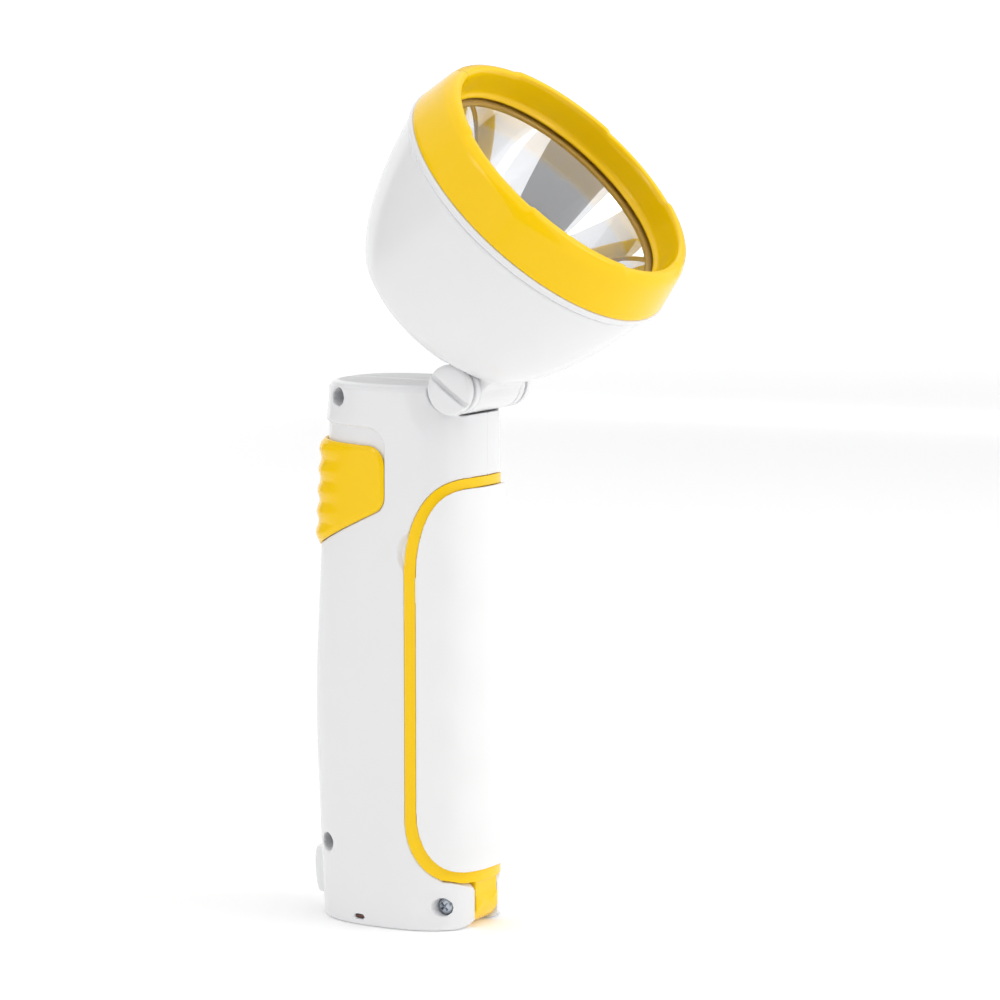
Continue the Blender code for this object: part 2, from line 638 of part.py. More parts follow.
def make_head(pivot):
    """Everything here is measured from the pivot with the head upright."""
    axis = (0.0, HEAD_OFFSET, HEAD_RISE)

    def ring(name, profile, finish, closed=True, segments=HEAD_SEGMENTS):
        return turned(name, profile, finish, segments, parent=pivot, centre=axis, closed=closed)

    shell = ring("head_shell", bowl_profile(), white_plastic(), closed=False)
    barrel = add_cutter("neck_barrel", rod_x(0.0, 0.0, BARREL_RADIUS, -NECK_HALF, NECK_HALF, 32), pivot)
    combine(shell, barrel, "UNION")
    saddle = box((-NECK_HALF, -5.6, 0.0), (NECK_HALF, 6.5, BARREL_RADIUS + 0.3))
    combine(shell, add_cutter("neck_saddle", saddle, pivot), "UNION")
    for side in (-1, 1):
        low, high = sorted((side * NECK_HALF, side * (CAP_OUTER + 6.0)))
        relief = add_cutter(f"ear_relief_{side}", rod_x(0.0, 0.0, BARREL_RADIUS + 0.6, low, high, 32), pivot)
        combine(shell, relief)
    combine(shell, add_cutter("neck_bore", rod_x(0.0, 0.0, BOLT_RADIUS + 0.2, -FAR, FAR), pivot))

    ring("bezel", bezel_profile(), yellow_plastic())
    lens = ((0.0, 4.6), (LENS_RADIUS, 4.6), (LENS_RADIUS, 2.7), (0.0, 2.7))
    ring("front_lens", lens, clear_plastic(), False)
    ring("lens_gasket", ((38.7, 2.4), (38.7, 2.0), (35.4, 2.0), (35.4, 2.4)), dark_plastic(), segments=32)
    ring("reflector", reflector_profile(), chrome(), segments=32)

    board_top = REFLECTOR_APEX + 0.1
    sink_top = board_top - 1.6 - GAP
    sink_foot = -BOWL_DEPTH + BOWL_BACK_WALL + GAP
    emitter = ((0.0, 2.2), (1.1, 1.9), (1.9, 1.2), (2.2, 0.6), (3.4, 0.6), (3.4, 0.0), (0.0, 0.0))
    emitter = [(radius, board_top + GAP + height) for radius, height in emitter]
    ring("led_emitter", emitter, material("led_phosphor", (0.9, 0.75, 0.2), 0.4), False, 24)
    disc = ((0.0, board_top), (13.0, board_top), (13.0, board_top - 1.6), (0.0, board_top - 1.6))
    board = ring("led_board", disc, steel(), False, 32)
    plate = ((0.0, sink_top), (17.0, sink_top), (17.0, sink_foot), (0.0, sink_foot))
    sink = ring("heat_sink", plate, material("aluminium", (0.7, 0.7, 0.72), 0.4, 1.0), False, 32)
    for side in (-1, 1):
        spot = (side * 10.6, HEAD_OFFSET, HEAD_RISE + board_top + GAP)
        pin = ((0.0, 1.0), (1.5, 0.9), (1.7, 0.0), (0.9, 0.0), (0.9, -3.4), (0.0, -3.4))
        name = "led_board_screw_1" if side < 0 else "led_board_screw_2"
        turned(name, pin, steel(), 16, parent=pivot, centre=spot, closed=False)
        hole = bmesh.new()
        bmesh.ops.create_cone(hole, cap_ends=True, segments=16, radius1=1.2, radius2=1.2, depth=20.0)
        hole.transform(Matrix.Translation(spot))
        drill = add_cutter(f"board_hole_{side}", hole, pivot)
        combine(board, drill)
        combine(sink, drill)


# ---------------------------------------------------------------- grip panel

def panel_piece(name, bm, finish, pivot):
    """A piece of the panel, with its origin on the panel's hinge."""
    origin = (0.0, *HINGE_SCREW)
    piece = add_piece(name, bm, finish, origin=origin)
    piece.parent = pivot
    piece.matrix_parent_inverse = Matrix.Translation(-Vector(origin) * MM)
    return piece


def clipped_shell(name, outline, outer, inner, finish, pivot, step):
    """The part of a hollow oval column that lies inside a side outline."""
    piece = panel_piece(name, oval_column(8.0, 134.0, outer, step), finish, pivot)
    combine(piece, add_cutter(f"{name}_inside", oval_column(4.0, 138.0, inner, step)))
    combine(piece, add_cutter(f"{name}_outline", slab_x(outline, -FAR, FAR)), "INTERSECT")
    return piece


def make_panel(pivot):
    sweep = add_cutter("panel_sweep", rod_x(*HINGE_SCREW, PANEL_SWEEP, -FAR, FAR))

    frame = clipped_shell("panel_frame", panel_outline(PANEL_EDGE, GAP), 0.25, -PANEL_WALL,
                          yellow_plastic(), pivot, 14.0)
    window = add_cutter("frame_window", slab_x(panel_outline(COVER_EDGE), -FAR, FAR))
    combine(frame, window)
    combine(frame, sweep)
    neck = add_cutter("knuckle_neck", box((-KNUCKLE_HALF, -24.9, 9.0), (KNUCKLE_HALF, -19.5, 16.0)))
    combine(frame, neck, "UNION")
    knuckle = add_cutter("knuckle", rod_x(*HINGE_SCREW, KNUCKLE_RADIUS, -KNUCKLE_HALF, KNUCKLE_HALF, 40))
    combine(frame, knuckle, "UNION")
    combine(frame, add_cutter("knuckle_bore", rod_x(*HINGE_SCREW, SCREW_SHANK_RADIUS + 0.2, -FAR, FAR, 16)))

    cover = clipped_shell("grip_cover", panel_outline(COVER_EDGE, GAP), grip_bulge,
                          lambda angle, z: grip_bulge(angle, z) - COVER_WALL, white_plastic(), pivot, 4.7)
    combine(cover, sweep)
    combine(cover, add_cutter("cover_neck_relief", box((-KNUCKLE_HALF - GAP, -25.3, 9.0),
                                                       (KNUCKLE_HALF + GAP, -19.0, 16.3))))

    tray_wall = 1.8
    slab = slab_x(panel_outline(PANEL_EDGE, GAP + 0.1), -FAR, FAR)
    tray = panel_piece("lamp_tray", slab, white_plastic(), pivot)
    combine(tray, add_cutter("tray_inside", slab_x(panel_outline(PANEL_EDGE, GAP + tray_wall), -FAR, FAR)))
    combine(tray, add_cutter("tray_sides", oval_column(4.0, 140.0, -PANEL_WALL - GAP)), "INTERSECT")
    combine(tray, sweep)
    combine(tray, add_cutter("tray_neck_relief", box((-KNUCKLE_HALF - GAP, -30.0, 8.0),
                                                     (KNUCKLE_HALF + GAP, -19.0, 16.3))))
    tray_back = PANEL_EDGE["back"] - GAP - 0.1
    combine(tray, add_cutter("lamp_window", box((-7.5, -20.0, LAMP_FOOT - 2.0), (7.5, 0.0, LAMP_TOP + 2.0))))
    glass = box((-7.2, tray_back - 1.5, LAMP_FOOT - 1.7), (7.2, tray_back - 0.1, LAMP_TOP + 1.7))
    panel_piece("lamp_diffuser", glass, clear_plastic(), pivot)
    board_face = tray_back - 3.4
    strip = box((-6.5, board_face - 1.2, LAMP_FOOT), (6.5, board_face, LAMP_TOP))
    panel_piece("lamp_board", strip, circuit_board(), pivot)
    pitch = (LAMP_TOP - LAMP_FOOT - 8.0) / (LAMP_LEDS - 1)
    for i in range(LAMP_LEDS):
        z = LAMP_FOOT + 4.0 + pitch * i
        led = box((-1.75, board_face + GAP, z - 1.4), (1.75, board_face + 1.3, z + 1.4))
        panel_piece(f"lamp_led_{i + 1}", led, material("led_phosphor", (0.9, 0.75, 0.2), 0.4), pivot)


# ---------------------------------------------------------------- switch and electronics

def switch_offset(angle, z):
    """The cap stands prouder at the back, where it carries the thumb ridges."""
    back = smooth_step((math.sin(angle) - 0.35) / 0.5)
    phase = (z - LOWEST_RIDGE) / RIDGE_PITCH
    ridged = -0.5 <= phase <= RIDGE_COUNT - 0.5
    ridge = 0.5 + 0.5 * math.cos(math.tau * phase) if ridged else 0.0
    return 0.6 + back * (0.5 + RIDGE_HEIGHT * ridge)


def make_switch(pivot):
    cap = add_piece("switch_cap", oval_column(100.0, 148.0, switch_offset, 2.0), yellow_plastic())
    cap.parent = pivot
    cap.matrix_parent_inverse = pivot.matrix_basis.inverted()
    inner = -RECESS_DEPTH + 0.35
    combine(cap, add_cutter("cap_inside", oval_column(95.0, 152.0, inner)))
    combine(cap, add_cutter("cap_outline", slab_x(switch_outline(0.0), -FAR, FAR)), "INTERSECT")
    stem = add_cutter("cap_stem", box((-STEM_HALF, 21.2, STEM_FOOT), (STEM_HALF, 25.0, STEM_TOP)))
    combine(cap, stem, "UNION")
    slider = add_piece("switch_slider", box((-1.8, 18.5, 122.0), (1.8, 20.9, 126.0)), dark_plastic())
    slider.parent = pivot
    slider.matrix_parent_inverse = pivot.matrix_basis.inverted()


def make_lead(name, points, colour):
    """A short insulated wire held inside the body."""
    curve = bpy.data.curves.new(name, "CURVE")
    curve.dimensions = "3D"
    curve.bevel_depth = 0.7 * MM
    curve.bevel_resolution = 1
    curve.use_fill_caps = True
    spline = curve.splines.new("POLY")
    spline.points.add(len(points) - 1)
    for point, place in zip(spline.points, points):
        point.co = (*(Vector(place) * MM), 1.0)
    lead = bpy.data.objects.new(name, curve)
    PARTS.objects.link(lead)
    curve.materials.append(colour)
    weld = lead.modifiers.new("caps", "WELD")
    weld.merge_threshold = 0.00001


def make_electronics():
    add_piece("main_board", box((-12.0, 11.0, 101.0), (12.0, 12.5, 141.0)), circuit_board())
    add_piece("slide_switch", box((-5.0, 12.8, 117.0), (5.0, 18.2, 132.0)), steel())

    cell_y, cell_foot, cell_top = 7.0, 28.0, 93.0
    cell = ((0.0, cell_top + 1.0), (3.0, cell_top + 1.0), (3.0, cell_top), (8.6, cell_top),
            (9.2, cell_top - 0.8), (9.2, cell_foot + 0.6), (8.7, cell_foot), (0.0, cell_foot))
    wrap = material("cell_wrap", (0.05, 0.16, 0.45), 0.35)
    turned("battery_cell", cell, wrap, 32, centre=(0.0, cell_y, 0.0), closed=False)
    top = cell_top + 1.0 + GAP
    add_piece("battery_tab_top", box((-4.0, 2.0, top), (4.0, 12.0, top + 0.3)), steel())
    foot = cell_foot - GAP
    add_piece("battery_tab_foot", box((-4.0, 2.0, foot - 0.3), (4.0, 12.0, foot)), steel())

    red = material("lead_red", (0.6, 0.02, 0.02), 0.4)
    black = material("lead_black", DARK, 0.4)
    rise = top + 1.4
    make_lead("battery_lead_positive", ((-2.0, 5.0, rise), (-6.0, 5.0, rise + 1.5), (-9.0, 6.5, rise + 6.0),
                                        (-9.5, 9.0, rise + 12.0), (-9.5, 9.8, rise + 18.0)), red)
    dip = foot - 1.4
    make_lead("battery_lead_negative", ((2.0, 5.0, dip), (8.0, 3.0, dip + 0.5), (11.8, 1.0, dip + 5.0),
                                        (12.4, 0.5, 40.0), (12.4, 0.5, 90.0), (10.5, 5.0, 103.0),
                                        (9.5, 9.8, 110.0)), black)

    case = box((-4.6, 11.5, PORT_Z - 4.2), (4.6, 22.4, PORT_Z + 4.2))
    socket = add_piece("charging_socket", case, dark_plastic())
    combine(socket, add_cutter("socket_bore", rod_y(PORT_Z, PORT_RADIUS - 0.4, 14.0, 40.0)))
    combine(socket, add_cutter("socket_pin", rod_y(PORT_Z, 1.0, 13.0, 21.5, 16)), "UNION")
    pipe = box((-18.9, 4.0, 2.1), (-15.4, 7.0, 2.9))
    add_piece("charge_indicator", pipe, material("indicator", (0.55, 0.05, 0.03), 0.25))


def make_port_cover(pivot):
    outline = (
        (back_y(COVER_FOOT) - 6.0, COVER_FOOT),
        (40.0, COVER_FOOT + 4.0),
        (40.0, COVER_TOP - 3.0),
        (back_y(COVER_TOP) - 6.0, COVER_TOP),
    )
    cover = add_piece("port_cover", oval_column(3.0, 24.0, COVER_PROUD, 7.0), white_plastic())
    cover.parent = pivot
    cover.matrix_parent_inverse = pivot.matrix_basis.inverted()
    combine(cover, add_cutter("port_cover_inside", oval_column(1.0, 26.0, GAP, 7.0)))
    combine(cover, add_cutter("port_cover_outline", slab_x(outline, -COVER_HALF, COVER_HALF)), "INTERSECT")


def main():
    head_pivot = empty_at("head_pivot", PIVOT_Y, PIVOT_Z, HEAD_TILT)
    panel_pivot = empty_at("panel_pivot", *HINGE_SCREW)
    switch_pivot = empty_at("switch_pivot", 24.0, 124.0)
    port_pivot = empty_at("port_pivot", back_y(COVER_TOP) + GAP, COVER_TOP)
    make_housings()
    make_screws()
    make_pivot()
    make_electronics()
    make_switch(switch_pivot)
    make_port_cover(port_pivot)
    make_panel(panel_pivot)
    make_head(head_pivot)


clear_scene()
PARTS = new_collection("hand_torch")
CUTTERS = new_collection("cutters")
main()
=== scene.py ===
"""Looks of a rechargeable hand torch with a tilting head, a slide switch and a fold-out grip lamp.

Every visible piece is built here in fine mesh at the places the CAD frame gives. Shapes are
worked out in millimetres in the part's own frame (+Z up, -Y to the front) and turned to metres
when their mesh is made.
"""

import json
import math

import bmesh
import bpy
import numpy as np
from mathutils import Matrix, Vector


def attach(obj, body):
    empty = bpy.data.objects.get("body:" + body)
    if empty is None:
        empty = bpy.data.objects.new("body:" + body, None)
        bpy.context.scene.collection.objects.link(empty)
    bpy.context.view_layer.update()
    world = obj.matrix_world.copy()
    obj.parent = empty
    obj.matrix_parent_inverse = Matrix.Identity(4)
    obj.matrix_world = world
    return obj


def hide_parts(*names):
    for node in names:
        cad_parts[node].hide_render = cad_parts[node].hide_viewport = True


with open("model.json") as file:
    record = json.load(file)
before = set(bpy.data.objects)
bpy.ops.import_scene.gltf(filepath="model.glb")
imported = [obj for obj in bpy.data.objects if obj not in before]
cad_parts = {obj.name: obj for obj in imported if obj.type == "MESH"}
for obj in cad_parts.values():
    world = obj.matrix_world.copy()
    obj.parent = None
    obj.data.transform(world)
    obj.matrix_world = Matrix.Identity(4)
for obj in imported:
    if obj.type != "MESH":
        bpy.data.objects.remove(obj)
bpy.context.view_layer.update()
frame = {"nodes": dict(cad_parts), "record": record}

MM = 0.001

# The camera: lens and sensor in millimetres, places in metres.
CAMERA_LENS, CAMERA_SENSOR = 146.4, 36.0
CAMERA_NEAR, CAMERA_FAR = 0.05, 1000.0
CAMERA_PLACE, CAMERA_TARGET = (-0.9769, -0.6082, 0.2609), (0.0153, -0.0204, 0.120)

# The studio, in metres.
AIM_HEIGHT, STUDIO_DISTANCE = 0.12, 1.5
WORLD_STRENGTH = 1.08
CARD_ROUGHNESS = 0.9
FLOOR_REACH = 300.0
FLOOR_SHADE, FLOOR_ROUGHNESS, FLOOR_GLOW = 0.93, 0.8, 0.12

# The body's oval column.
BODY_HEIGHT = 155.0
HALF_WIDTH = 20.0
FRONT_Y = -25.4
BACK_KNOTS = ((0.0, 25.2), (30.0, 26.8), (62.0, 27.9), (100.0, 26.2), (142.0, 23.7), (155.0, 22.6))
OVAL_POWER = 2.5
WALL = 2.0
FLOOR = 2.4
BASE_ROUND = 1.0
TOP_ROUND = 2.6
ROUND_STEPS = 6
BODY_SEGMENTS = 160
NOTCH_PLACE, NOTCH_RADIUS = (33.9, -17.1, 107.8), 17.4
INDICATOR_SLOT_LOW, INDICATOR_SLOT_HIGH = (3.7, 1.8), (7.3, 3.2)

# The seam between the two shells, and the lap in the floor.
SEAM = 0.12
TONGUE_FRONT, TONGUE_BACK, TONGUE_REACH = -14.0, 16.0, 3.0
SEAM_BAND, SEAM_DEPTH, SEAM_LOW = 0.9, 0.6, 2.0
SEAM_EDGE, HAIRLINE = 0.3, 0.015

# The head's hinge and the head.
PIVOT_Y, PIVOT_Z = -22.8, 154.2
BARREL_RADIUS = 7.2
NECK_HALF = 11.3
EAR_INNER, EAR_OUTER = 11.8, 14.6
CAP_OUTER = 17.3
BOLT_RADIUS = 2.0
HEAD_TILT = 45.0
HEAD_RISE, HEAD_OFFSET = 50.4, 22.5
BOWL_RADIUS, BOWL_DEPTH = 43.9, 45.2
BOWL_FORM_DEPTH, BOWL_FORM_POWER, BOWL_FORM_ROOT = 51.1, 1.2, 3.9
BOWL_WALL, BOWL_BACK_WALL = 2.4, 3.6
LIP_RADIUS = 44.6
LENS_RADIUS, APERTURE_RADIUS = 39.0, 35.8
FOCAL_LENGTH, REFLECTOR_APEX, REFLECTOR_TOP, REFLECTOR_HOLE = 7.9, -36.0, 1.7, 5.5
LUG_STARTS, LUG_SPAN, LUG_RAMP, LUG_HEIGHT = (18.0, 108.0, 198.0, 288.0), 50.0, 1.6, 0.55
CREST_FOOT, CREST_RISE, CREST_RADIUS, CREST_WIDTH, CREST_LIFT = 12.3, 1.2, 36.9, 0.7, 0.15

# The grip panel.
PANEL_PIVOT_Y, PANEL_PIVOT_Z = -18.8, 6.8
KNUCKLE_RADIUS, KNUCKLE_HALF = 6.6, 5.8
CHEEK_RADIUS = 7.5
PANEL_SWEEP = 7.9
PANEL_EDGE = {"back": -9.6, "top": 129.0, "top_start": 102.0, "foot": 13.3, "foot_start": 31.5}
COVER_EDGE = {"back": -12.65, "top": 126.3, "top_start": 101.0, "foot": 16.6, "foot_start": 34.0}
PANEL_WALL = 2.4
PANEL_CURVE_STEPS = 32
LIP_DEPTH, LIP_WIDTH, COVER_WALL, COVER_SEAM = 1.35, 1.2, 1.3, 0.07
TRIM_PROUD, TRIM_GAP, COVER_INSET = 0.25, 0.06, 0.2
GROOVE_PITCH, FIRST_GROOVE_CREST, GROOVE_DEPTH, COVER_BULGE = 23.5, 98.5, 1.2, 2.1

# The switch.
SWITCH_TRAVEL = 5.0
SWITCH_OUTLINE = ((40.0, 138.8), (-3.4, 137.5), (-3.4, 120.2), (40.0, 99.9))
SWITCH_CORNERS = (0.0, 5.5, 5.0, 0.0)
FILLET_STEPS = 10
SWITCH_PROUD, SWITCH_BACK_PROUD, SWITCH_BEVEL = 0.75, 0.35, 1.1
RECESS_DEPTH = 0.8
RIDGE_PITCH, LOWEST_RIDGE, RIDGE_COUNT, RIDGE_HEIGHT = 6.0, 111.3, 5, 0.7
STEM_HALF, STEM_FOOT, STEM_TOP = 2.2, 121.0, 127.0

# Case screws, and the port at the back of the foot.
TOP_SCREW, BACK_SCREW, HINGE_SCREW = (13.5, 150.6), (18.4, 22.2), (PANEL_PIVOT_Y, PANEL_PIVOT_Z)
SCREW_HEAD_RADIUS, SCREW_SHANK_RADIUS, WELL_RADIUS, BOSS_RADIUS = 2.3, 1.2, 2.6, 4.2
CASE_WELL_FLOOR, HINGE_WELL_FLOOR, BORE_END = -7.5, -11.0, 14.0
PORT_Z, PORT_RADIUS = 13.2, 3.4
PORT_COVER_HALF, PORT_COVER_FOOT, PORT_COVER_TOP = 8.4, 4.2, 19.6
PORT_COVER_EDGE, PORT_COVER_PROUD = 0.8, 3.9

# A length past every side of the part, and the clearance between moving pieces.
FAR = 60.0
GAP = 0.2

# Each remeshed piece: the voxel's size, and how many passes round its edges.
SKIN = {
    "bowl": (0.6, 4),
    "shell": (0.42, 3),
    "cap": (0.16, 3),
    "trim": (0.27, 3),
    "grip": (0.34, 3),
    "switch": (0.26, 2),
    "port": (0.24, 8),
}


# ---------------------------------------------------------------- camera, light and floor

def look_at(obj, target):
    direction = Vector(target) - obj.location
    obj.rotation_euler = direction.to_track_quat("-Z", "Y").to_euler()


def add_camera():
    data = bpy.data.cameras.new("camera")
    data.lens = CAMERA_LENS
    data.sensor_width = CAMERA_SENSOR
    data.clip_start, data.clip_end = CAMERA_NEAR, CAMERA_FAR
    camera = bpy.data.objects.new("camera", data)
    bpy.context.scene.collection.objects.link(camera)
    camera.location = CAMERA_PLACE
    look_at(camera, CAMERA_TARGET)
    bpy.context.scene.camera = camera


def heading(azimuth, elevation):
    """A place in the studio seen from the torch: azimuth from +Y towards +X, in degrees."""
    bearing, lift = math.radians(azimuth), math.radians(elevation)
    level = STUDIO_DISTANCE * math.cos(lift)
    return (level * math.sin(bearing), level * math.cos(bearing), AIM_HEIGHT + STUDIO_DISTANCE * math.sin(lift))


def add_area(name, place, size, power):
    data = bpy.data.lights.new(name, "AREA")
    data.shape = "RECTANGLE"
    data.size, data.size_y = size
    data.energy = power
    light = bpy.data.objects.new(name, data)
    bpy.context.scene.collection.objects.link(light)
    light.location = place
    look_at(light, (0.0, 0.0, AIM_HEIGHT))


def sheet(name, half_x, half_y):
    """A flat rectangle about its own middle, in metres."""
    bm = bmesh.new()
    corners = ((-half_x, -half_y), (half_x, -half_y), (half_x, half_y), (-half_x, half_y))
    bm.faces.new([bm.verts.new((x, y, 0.0)) for x, y in corners])
    return link_mesh(name, bm)


def add_card(name, place, size, shade):
    """A grey card that dims one side of the studio; the camera does not see it."""
    card = sheet(name, size[0] / 2, size[1] / 2)
    card.location = place
    look_at(card, (0.0, 0.0, place[2]))
    card.visible_camera = False
    card.data.materials.append(plain_paint(name, shade, CARD_ROUGHNESS, 0.0))


def plain_paint(name, shade, roughness, glow):
    paint = bpy.data.materials.new(name)
    paint.use_nodes = True
    shader = paint.node_tree.nodes["Principled BSDF"]
    shader.inputs["Base Color"].default_value = (shade, shade, shade, 1.0)
    shader.inputs["Roughness"].default_value = roughness
    shader.inputs["Emission Color"].default_value = (1.0, 1.0, 1.0, 1.0)
    shader.inputs["Emission Strength"].default_value = glow
    return paint


def add_stage():
    world = bpy.data.worlds.new("studio")
    bpy.context.scene.world = world
    world.use_nodes = True
    background = world.node_tree.nodes["Background"]
    background.inputs["Color"].default_value = (1.0, 1.0, 1.0, 1.0)
    background.inputs["Strength"].default_value = WORLD_STRENGTH
    add_card("card_by_camera", (-0.814, -0.581, 0.62), (0.87, 1.24), 0.2)
    add_card("card_left", heading(-12, 18), (1.6, 1.2), 0.22)
    add_card("card_right", heading(80, 20), (1.3, 1.1), 0.5)
    add_area("box_left", heading(-84, 42), (0.5, 0.35), 1.6)
    add_area("box_right", heading(165, 32), (0.8, 0.8), 4.2)

    floor = sheet("floor", FLOOR_REACH, FLOOR_REACH)
    floor.data.materials.append(plain_paint("floor_white", FLOOR_SHADE, FLOOR_ROUGHNESS, FLOOR_GLOW))


# ---------------------------------------------------------------- mesh tools, in millimetres

def link_mesh(name, bm):
    mesh = bpy.data.meshes.new(name)
    bm.to_mesh(mesh)
    bm.free()
    piece = bpy.data.objects.new(name, mesh)
    bpy.context.scene.collection.objects.link(piece)
    return piece


def solid(name, bm, place=None):
    """An object from a closed bmesh in millimetres, its faces turned outward."""
    if place is not None:
        bm.transform(place)
    if bm.calc_volume(signed=True) < 0:
        bmesh.ops.reverse_faces(bm, faces=bm.faces)
    bm.transform(Matrix.Scale(MM, 4))
    return link_mesh(name, bm)


def settle(piece):
    """Applies the piece's modifiers."""
    bpy.context.view_layer.update()
    graph = bpy.context.evaluated_depsgraph_get()
    made = bpy.data.meshes.new_from_object(piece.evaluated_get(graph))
    piece.modifiers.clear()
    old = piece.data
    piece.data = made
    bpy.data.meshes.remove(old)


def carve(piece, *steps):
    """Each step is (operation, cutter); the cutters are used up."""
    for operation, cutter in steps:
        step = piece.modifiers.new("carve", "BOOLEAN")
        step.operation = operation
        step.solver = "MANIFOLD"
        step.object = cutter
    settle(piece)
    for cutter in {cutter for _, cutter in steps}:
        bpy.data.objects.remove(cutter)
    return piece


def cut(cutter):
    return ("DIFFERENCE", cutter)


def join(cutter):
    return ("UNION", cutter)


def keep(cutter):
    return ("INTERSECT", cutter)


def soften(piece, voxel, passes):
    """Gives the piece an even fine skin and rounds its edges."""
    skin = piece.modifiers.new("skin", "REMESH")
    skin.mode = "VOXEL"
    skin.voxel_size = voxel * MM
    relax = piece.modifiers.new("relax", "SMOOTH")
    relax.factor = 0.5
    relax.iterations = passes
    settle(piece)
    piece.data.shade_smooth()


def points_of(piece):
    flat = np.empty(len(piece.data.vertices) * 3)
    piece.data.vertices.foreach_get("co", flat)
    return flat.reshape(-1, 3) / MM


def set_points(piece, points):
    piece.data.vertices.foreach_set("co", (points * MM).ravel())
    piece.data.update()


def smooth_step(value):
    t = np.clip(value, 0.0, 1.0)
    return t * t * (3 - 2 * t)


def back_y(z):
    """The back of the body at a height: a smooth curve through BACK_KNOTS."""
    knots = np.array(BACK_KNOTS)
    heights, places = knots[:, 0], knots[:, 1]
    slopes = np.empty(len(knots))
    slopes[1:-1] = (places[2:] - places[:-2]) / (heights[2:] - heights[:-2])
    slopes[0] = (places[1] - places[0]) / (heights[1] - heights[0])
    slopes[-1] = (places[-1] - places[-2]) / (heights[-1] - heights[-2])
    z = np.asarray(z, float)
    k = np.clip(np.searchsorted(heights, z, side="right") - 1, 0, len(knots) - 2)
    span = heights[k + 1] - heights[k]
    t = np.clip((z - heights[k]) / span, 0.0, 1.0)
    rise = places[k] * (1 + 2 * t) * (1 - t) ** 2 + places[k + 1] * t * t * (3 - 2 * t)
    return rise + span * (slopes[k] * t * (1 - t) ** 2 - slopes[k + 1] * t * t * (1 - t))


def oval_points(angle, z, offset):
    """Points of the body's oval, moved out by offset; angle 0 is +X."""
    depth, middle = (back_y(z) - FRONT_Y) / 2, (back_y(z) + FRONT_Y) / 2
    cos, sin = np.cos(angle), np.sin(angle)
    power = 2 / OVAL_POWER
    x = HALF_WIDTH * np.sign(cos) * np.abs(cos) ** power
    y = depth * np.sign(sin) * np.abs(sin) ** power
    bend = OVAL_POWER - 1
    out_x = np.sign(x) * np.abs(x / HALF_WIDTH) ** bend / HALF_WIDTH
    out_y = np.sign(y) * np.abs(y / depth) ** bend / depth
    size = np.hypot(out_x, out_y)
    moved = (x + offset * out_x / size, middle + y + offset * out_y / size, z + 0 * x)
    return np.stack(moved, axis=-1)


def oval_place(points):
    """For each point: its angle on the oval, its distance out of it, and the way out (x, y)."""
    z = points[:, 2]
    depth, middle = (back_y(z) - FRONT_Y) / 2, (back_y(z) + FRONT_Y) / 2
    x, y = points[:, 0], points[:, 1] - middle
    foot_x, foot_y = x.copy(), y.copy()
    for _ in range(4):
        u, v = np.abs(foot_x) / HALF_WIDTH + 1e-9, np.abs(foot_y) / depth + 1e-9
        size = (u ** OVAL_POWER + v ** OVAL_POWER) ** (1 / OVAL_POWER)
        foot_x, foot_y = foot_x / size, foot_y / size
        out_x = np.sign(foot_x) * (np.abs(foot_x) / HALF_WIDTH) ** (OVAL_POWER - 1) / HALF_WIDTH
        out_y = np.sign(foot_y) * (np.abs(foot_y) / depth) ** (OVAL_POWER - 1) / depth
        length = np.hypot(out_x, out_y)
        out_x, out_y = out_x / length, out_y / length
        distance = (x - foot_x) * out_x + (y - foot_y) * out_y
        foot_x, foot_y = x - distance * out_x, y - distance * out_y
    bend = OVAL_POWER / 2
    angle = np.arctan2(np.sign(foot_y) * (np.abs(foot_y) / depth) ** bend,
                       np.sign(foot_x) * (np.abs(foot_x) / HALF_WIDTH) ** bend)
    return angle, distance, out_x, out_y


def snap_to_oval(piece, *levels, reach):
    """Moves the points that lie close to one of the smooth oval surfaces exactly onto it."""
    points = points_of(piece)
    angle, distance, out_x, out_y = oval_place(points)
    for level in levels:
        wanted = level(angle, points[:, 2]) if callable(level) else level
        off = wanted - distance
        share = 1 - smooth_step((np.abs(off) - 0.5 * reach) / (0.5 * reach))
        points[:, 0] += out_x * off * share
        points[:, 1] += out_y * off * share
        distance = distance + off * share
    set_points(piece, points)
    return piece


def close_seam(shell, side):
    """Brings the two shells together in a hairline along the middle of the body."""
    points = points_of(shell)
    _, distance, out_x, out_y = oval_place(points)
    near = (np.abs(points[:, 0]) < SEAM_BAND) & (distance > -SEAM_DEPTH)
    near &= (points[:, 2] > SEAM_LOW) & (points[:, 2] < BODY_HEIGHT - TOP_ROUND)
    points[near, 0] -= out_x[near] * distance[near]
    points[near, 1] -= out_y[near] * distance[near]
    edge = near & (np.abs(points[:, 0]) < SEAM_EDGE)
    points[edge, 0] = side * HAIRLINE
    set_points(shell, points)


def loft(rings):
    """A closed solid through rings of equal point counts, lowest first."""
    bm = bmesh.new()
    loops = [[bm.verts.new(point) for point in ring] for ring in rings]
    for low, high in zip(loops, loops[1:]):
        for i in range(len(low)):
            j = (i + 1) % len(low)
            bm.faces.new((low[i], low[j], high[j], high[i]))
    bm.faces.new(reversed(loops[0]))
    bm.faces.new(loops[-1])
    return bm


def steps_between(low, high, step):
    return np.linspace(low, high, max(2, round((high - low) / step) + 1))


def oval_column(low, high, offset, step, count):
    """The body's oval between two heights, moved out by offset: a number, or a function of angle and height."""
    angles = np.linspace(0, math.tau, count, endpoint=False)
    rings = []
    for z in steps_between(low, high, step):
        out = offset(angles, np.full(count, z)) if callable(offset) else offset
        rings.append(oval_points(angles, z, out))
    return loft(rings)


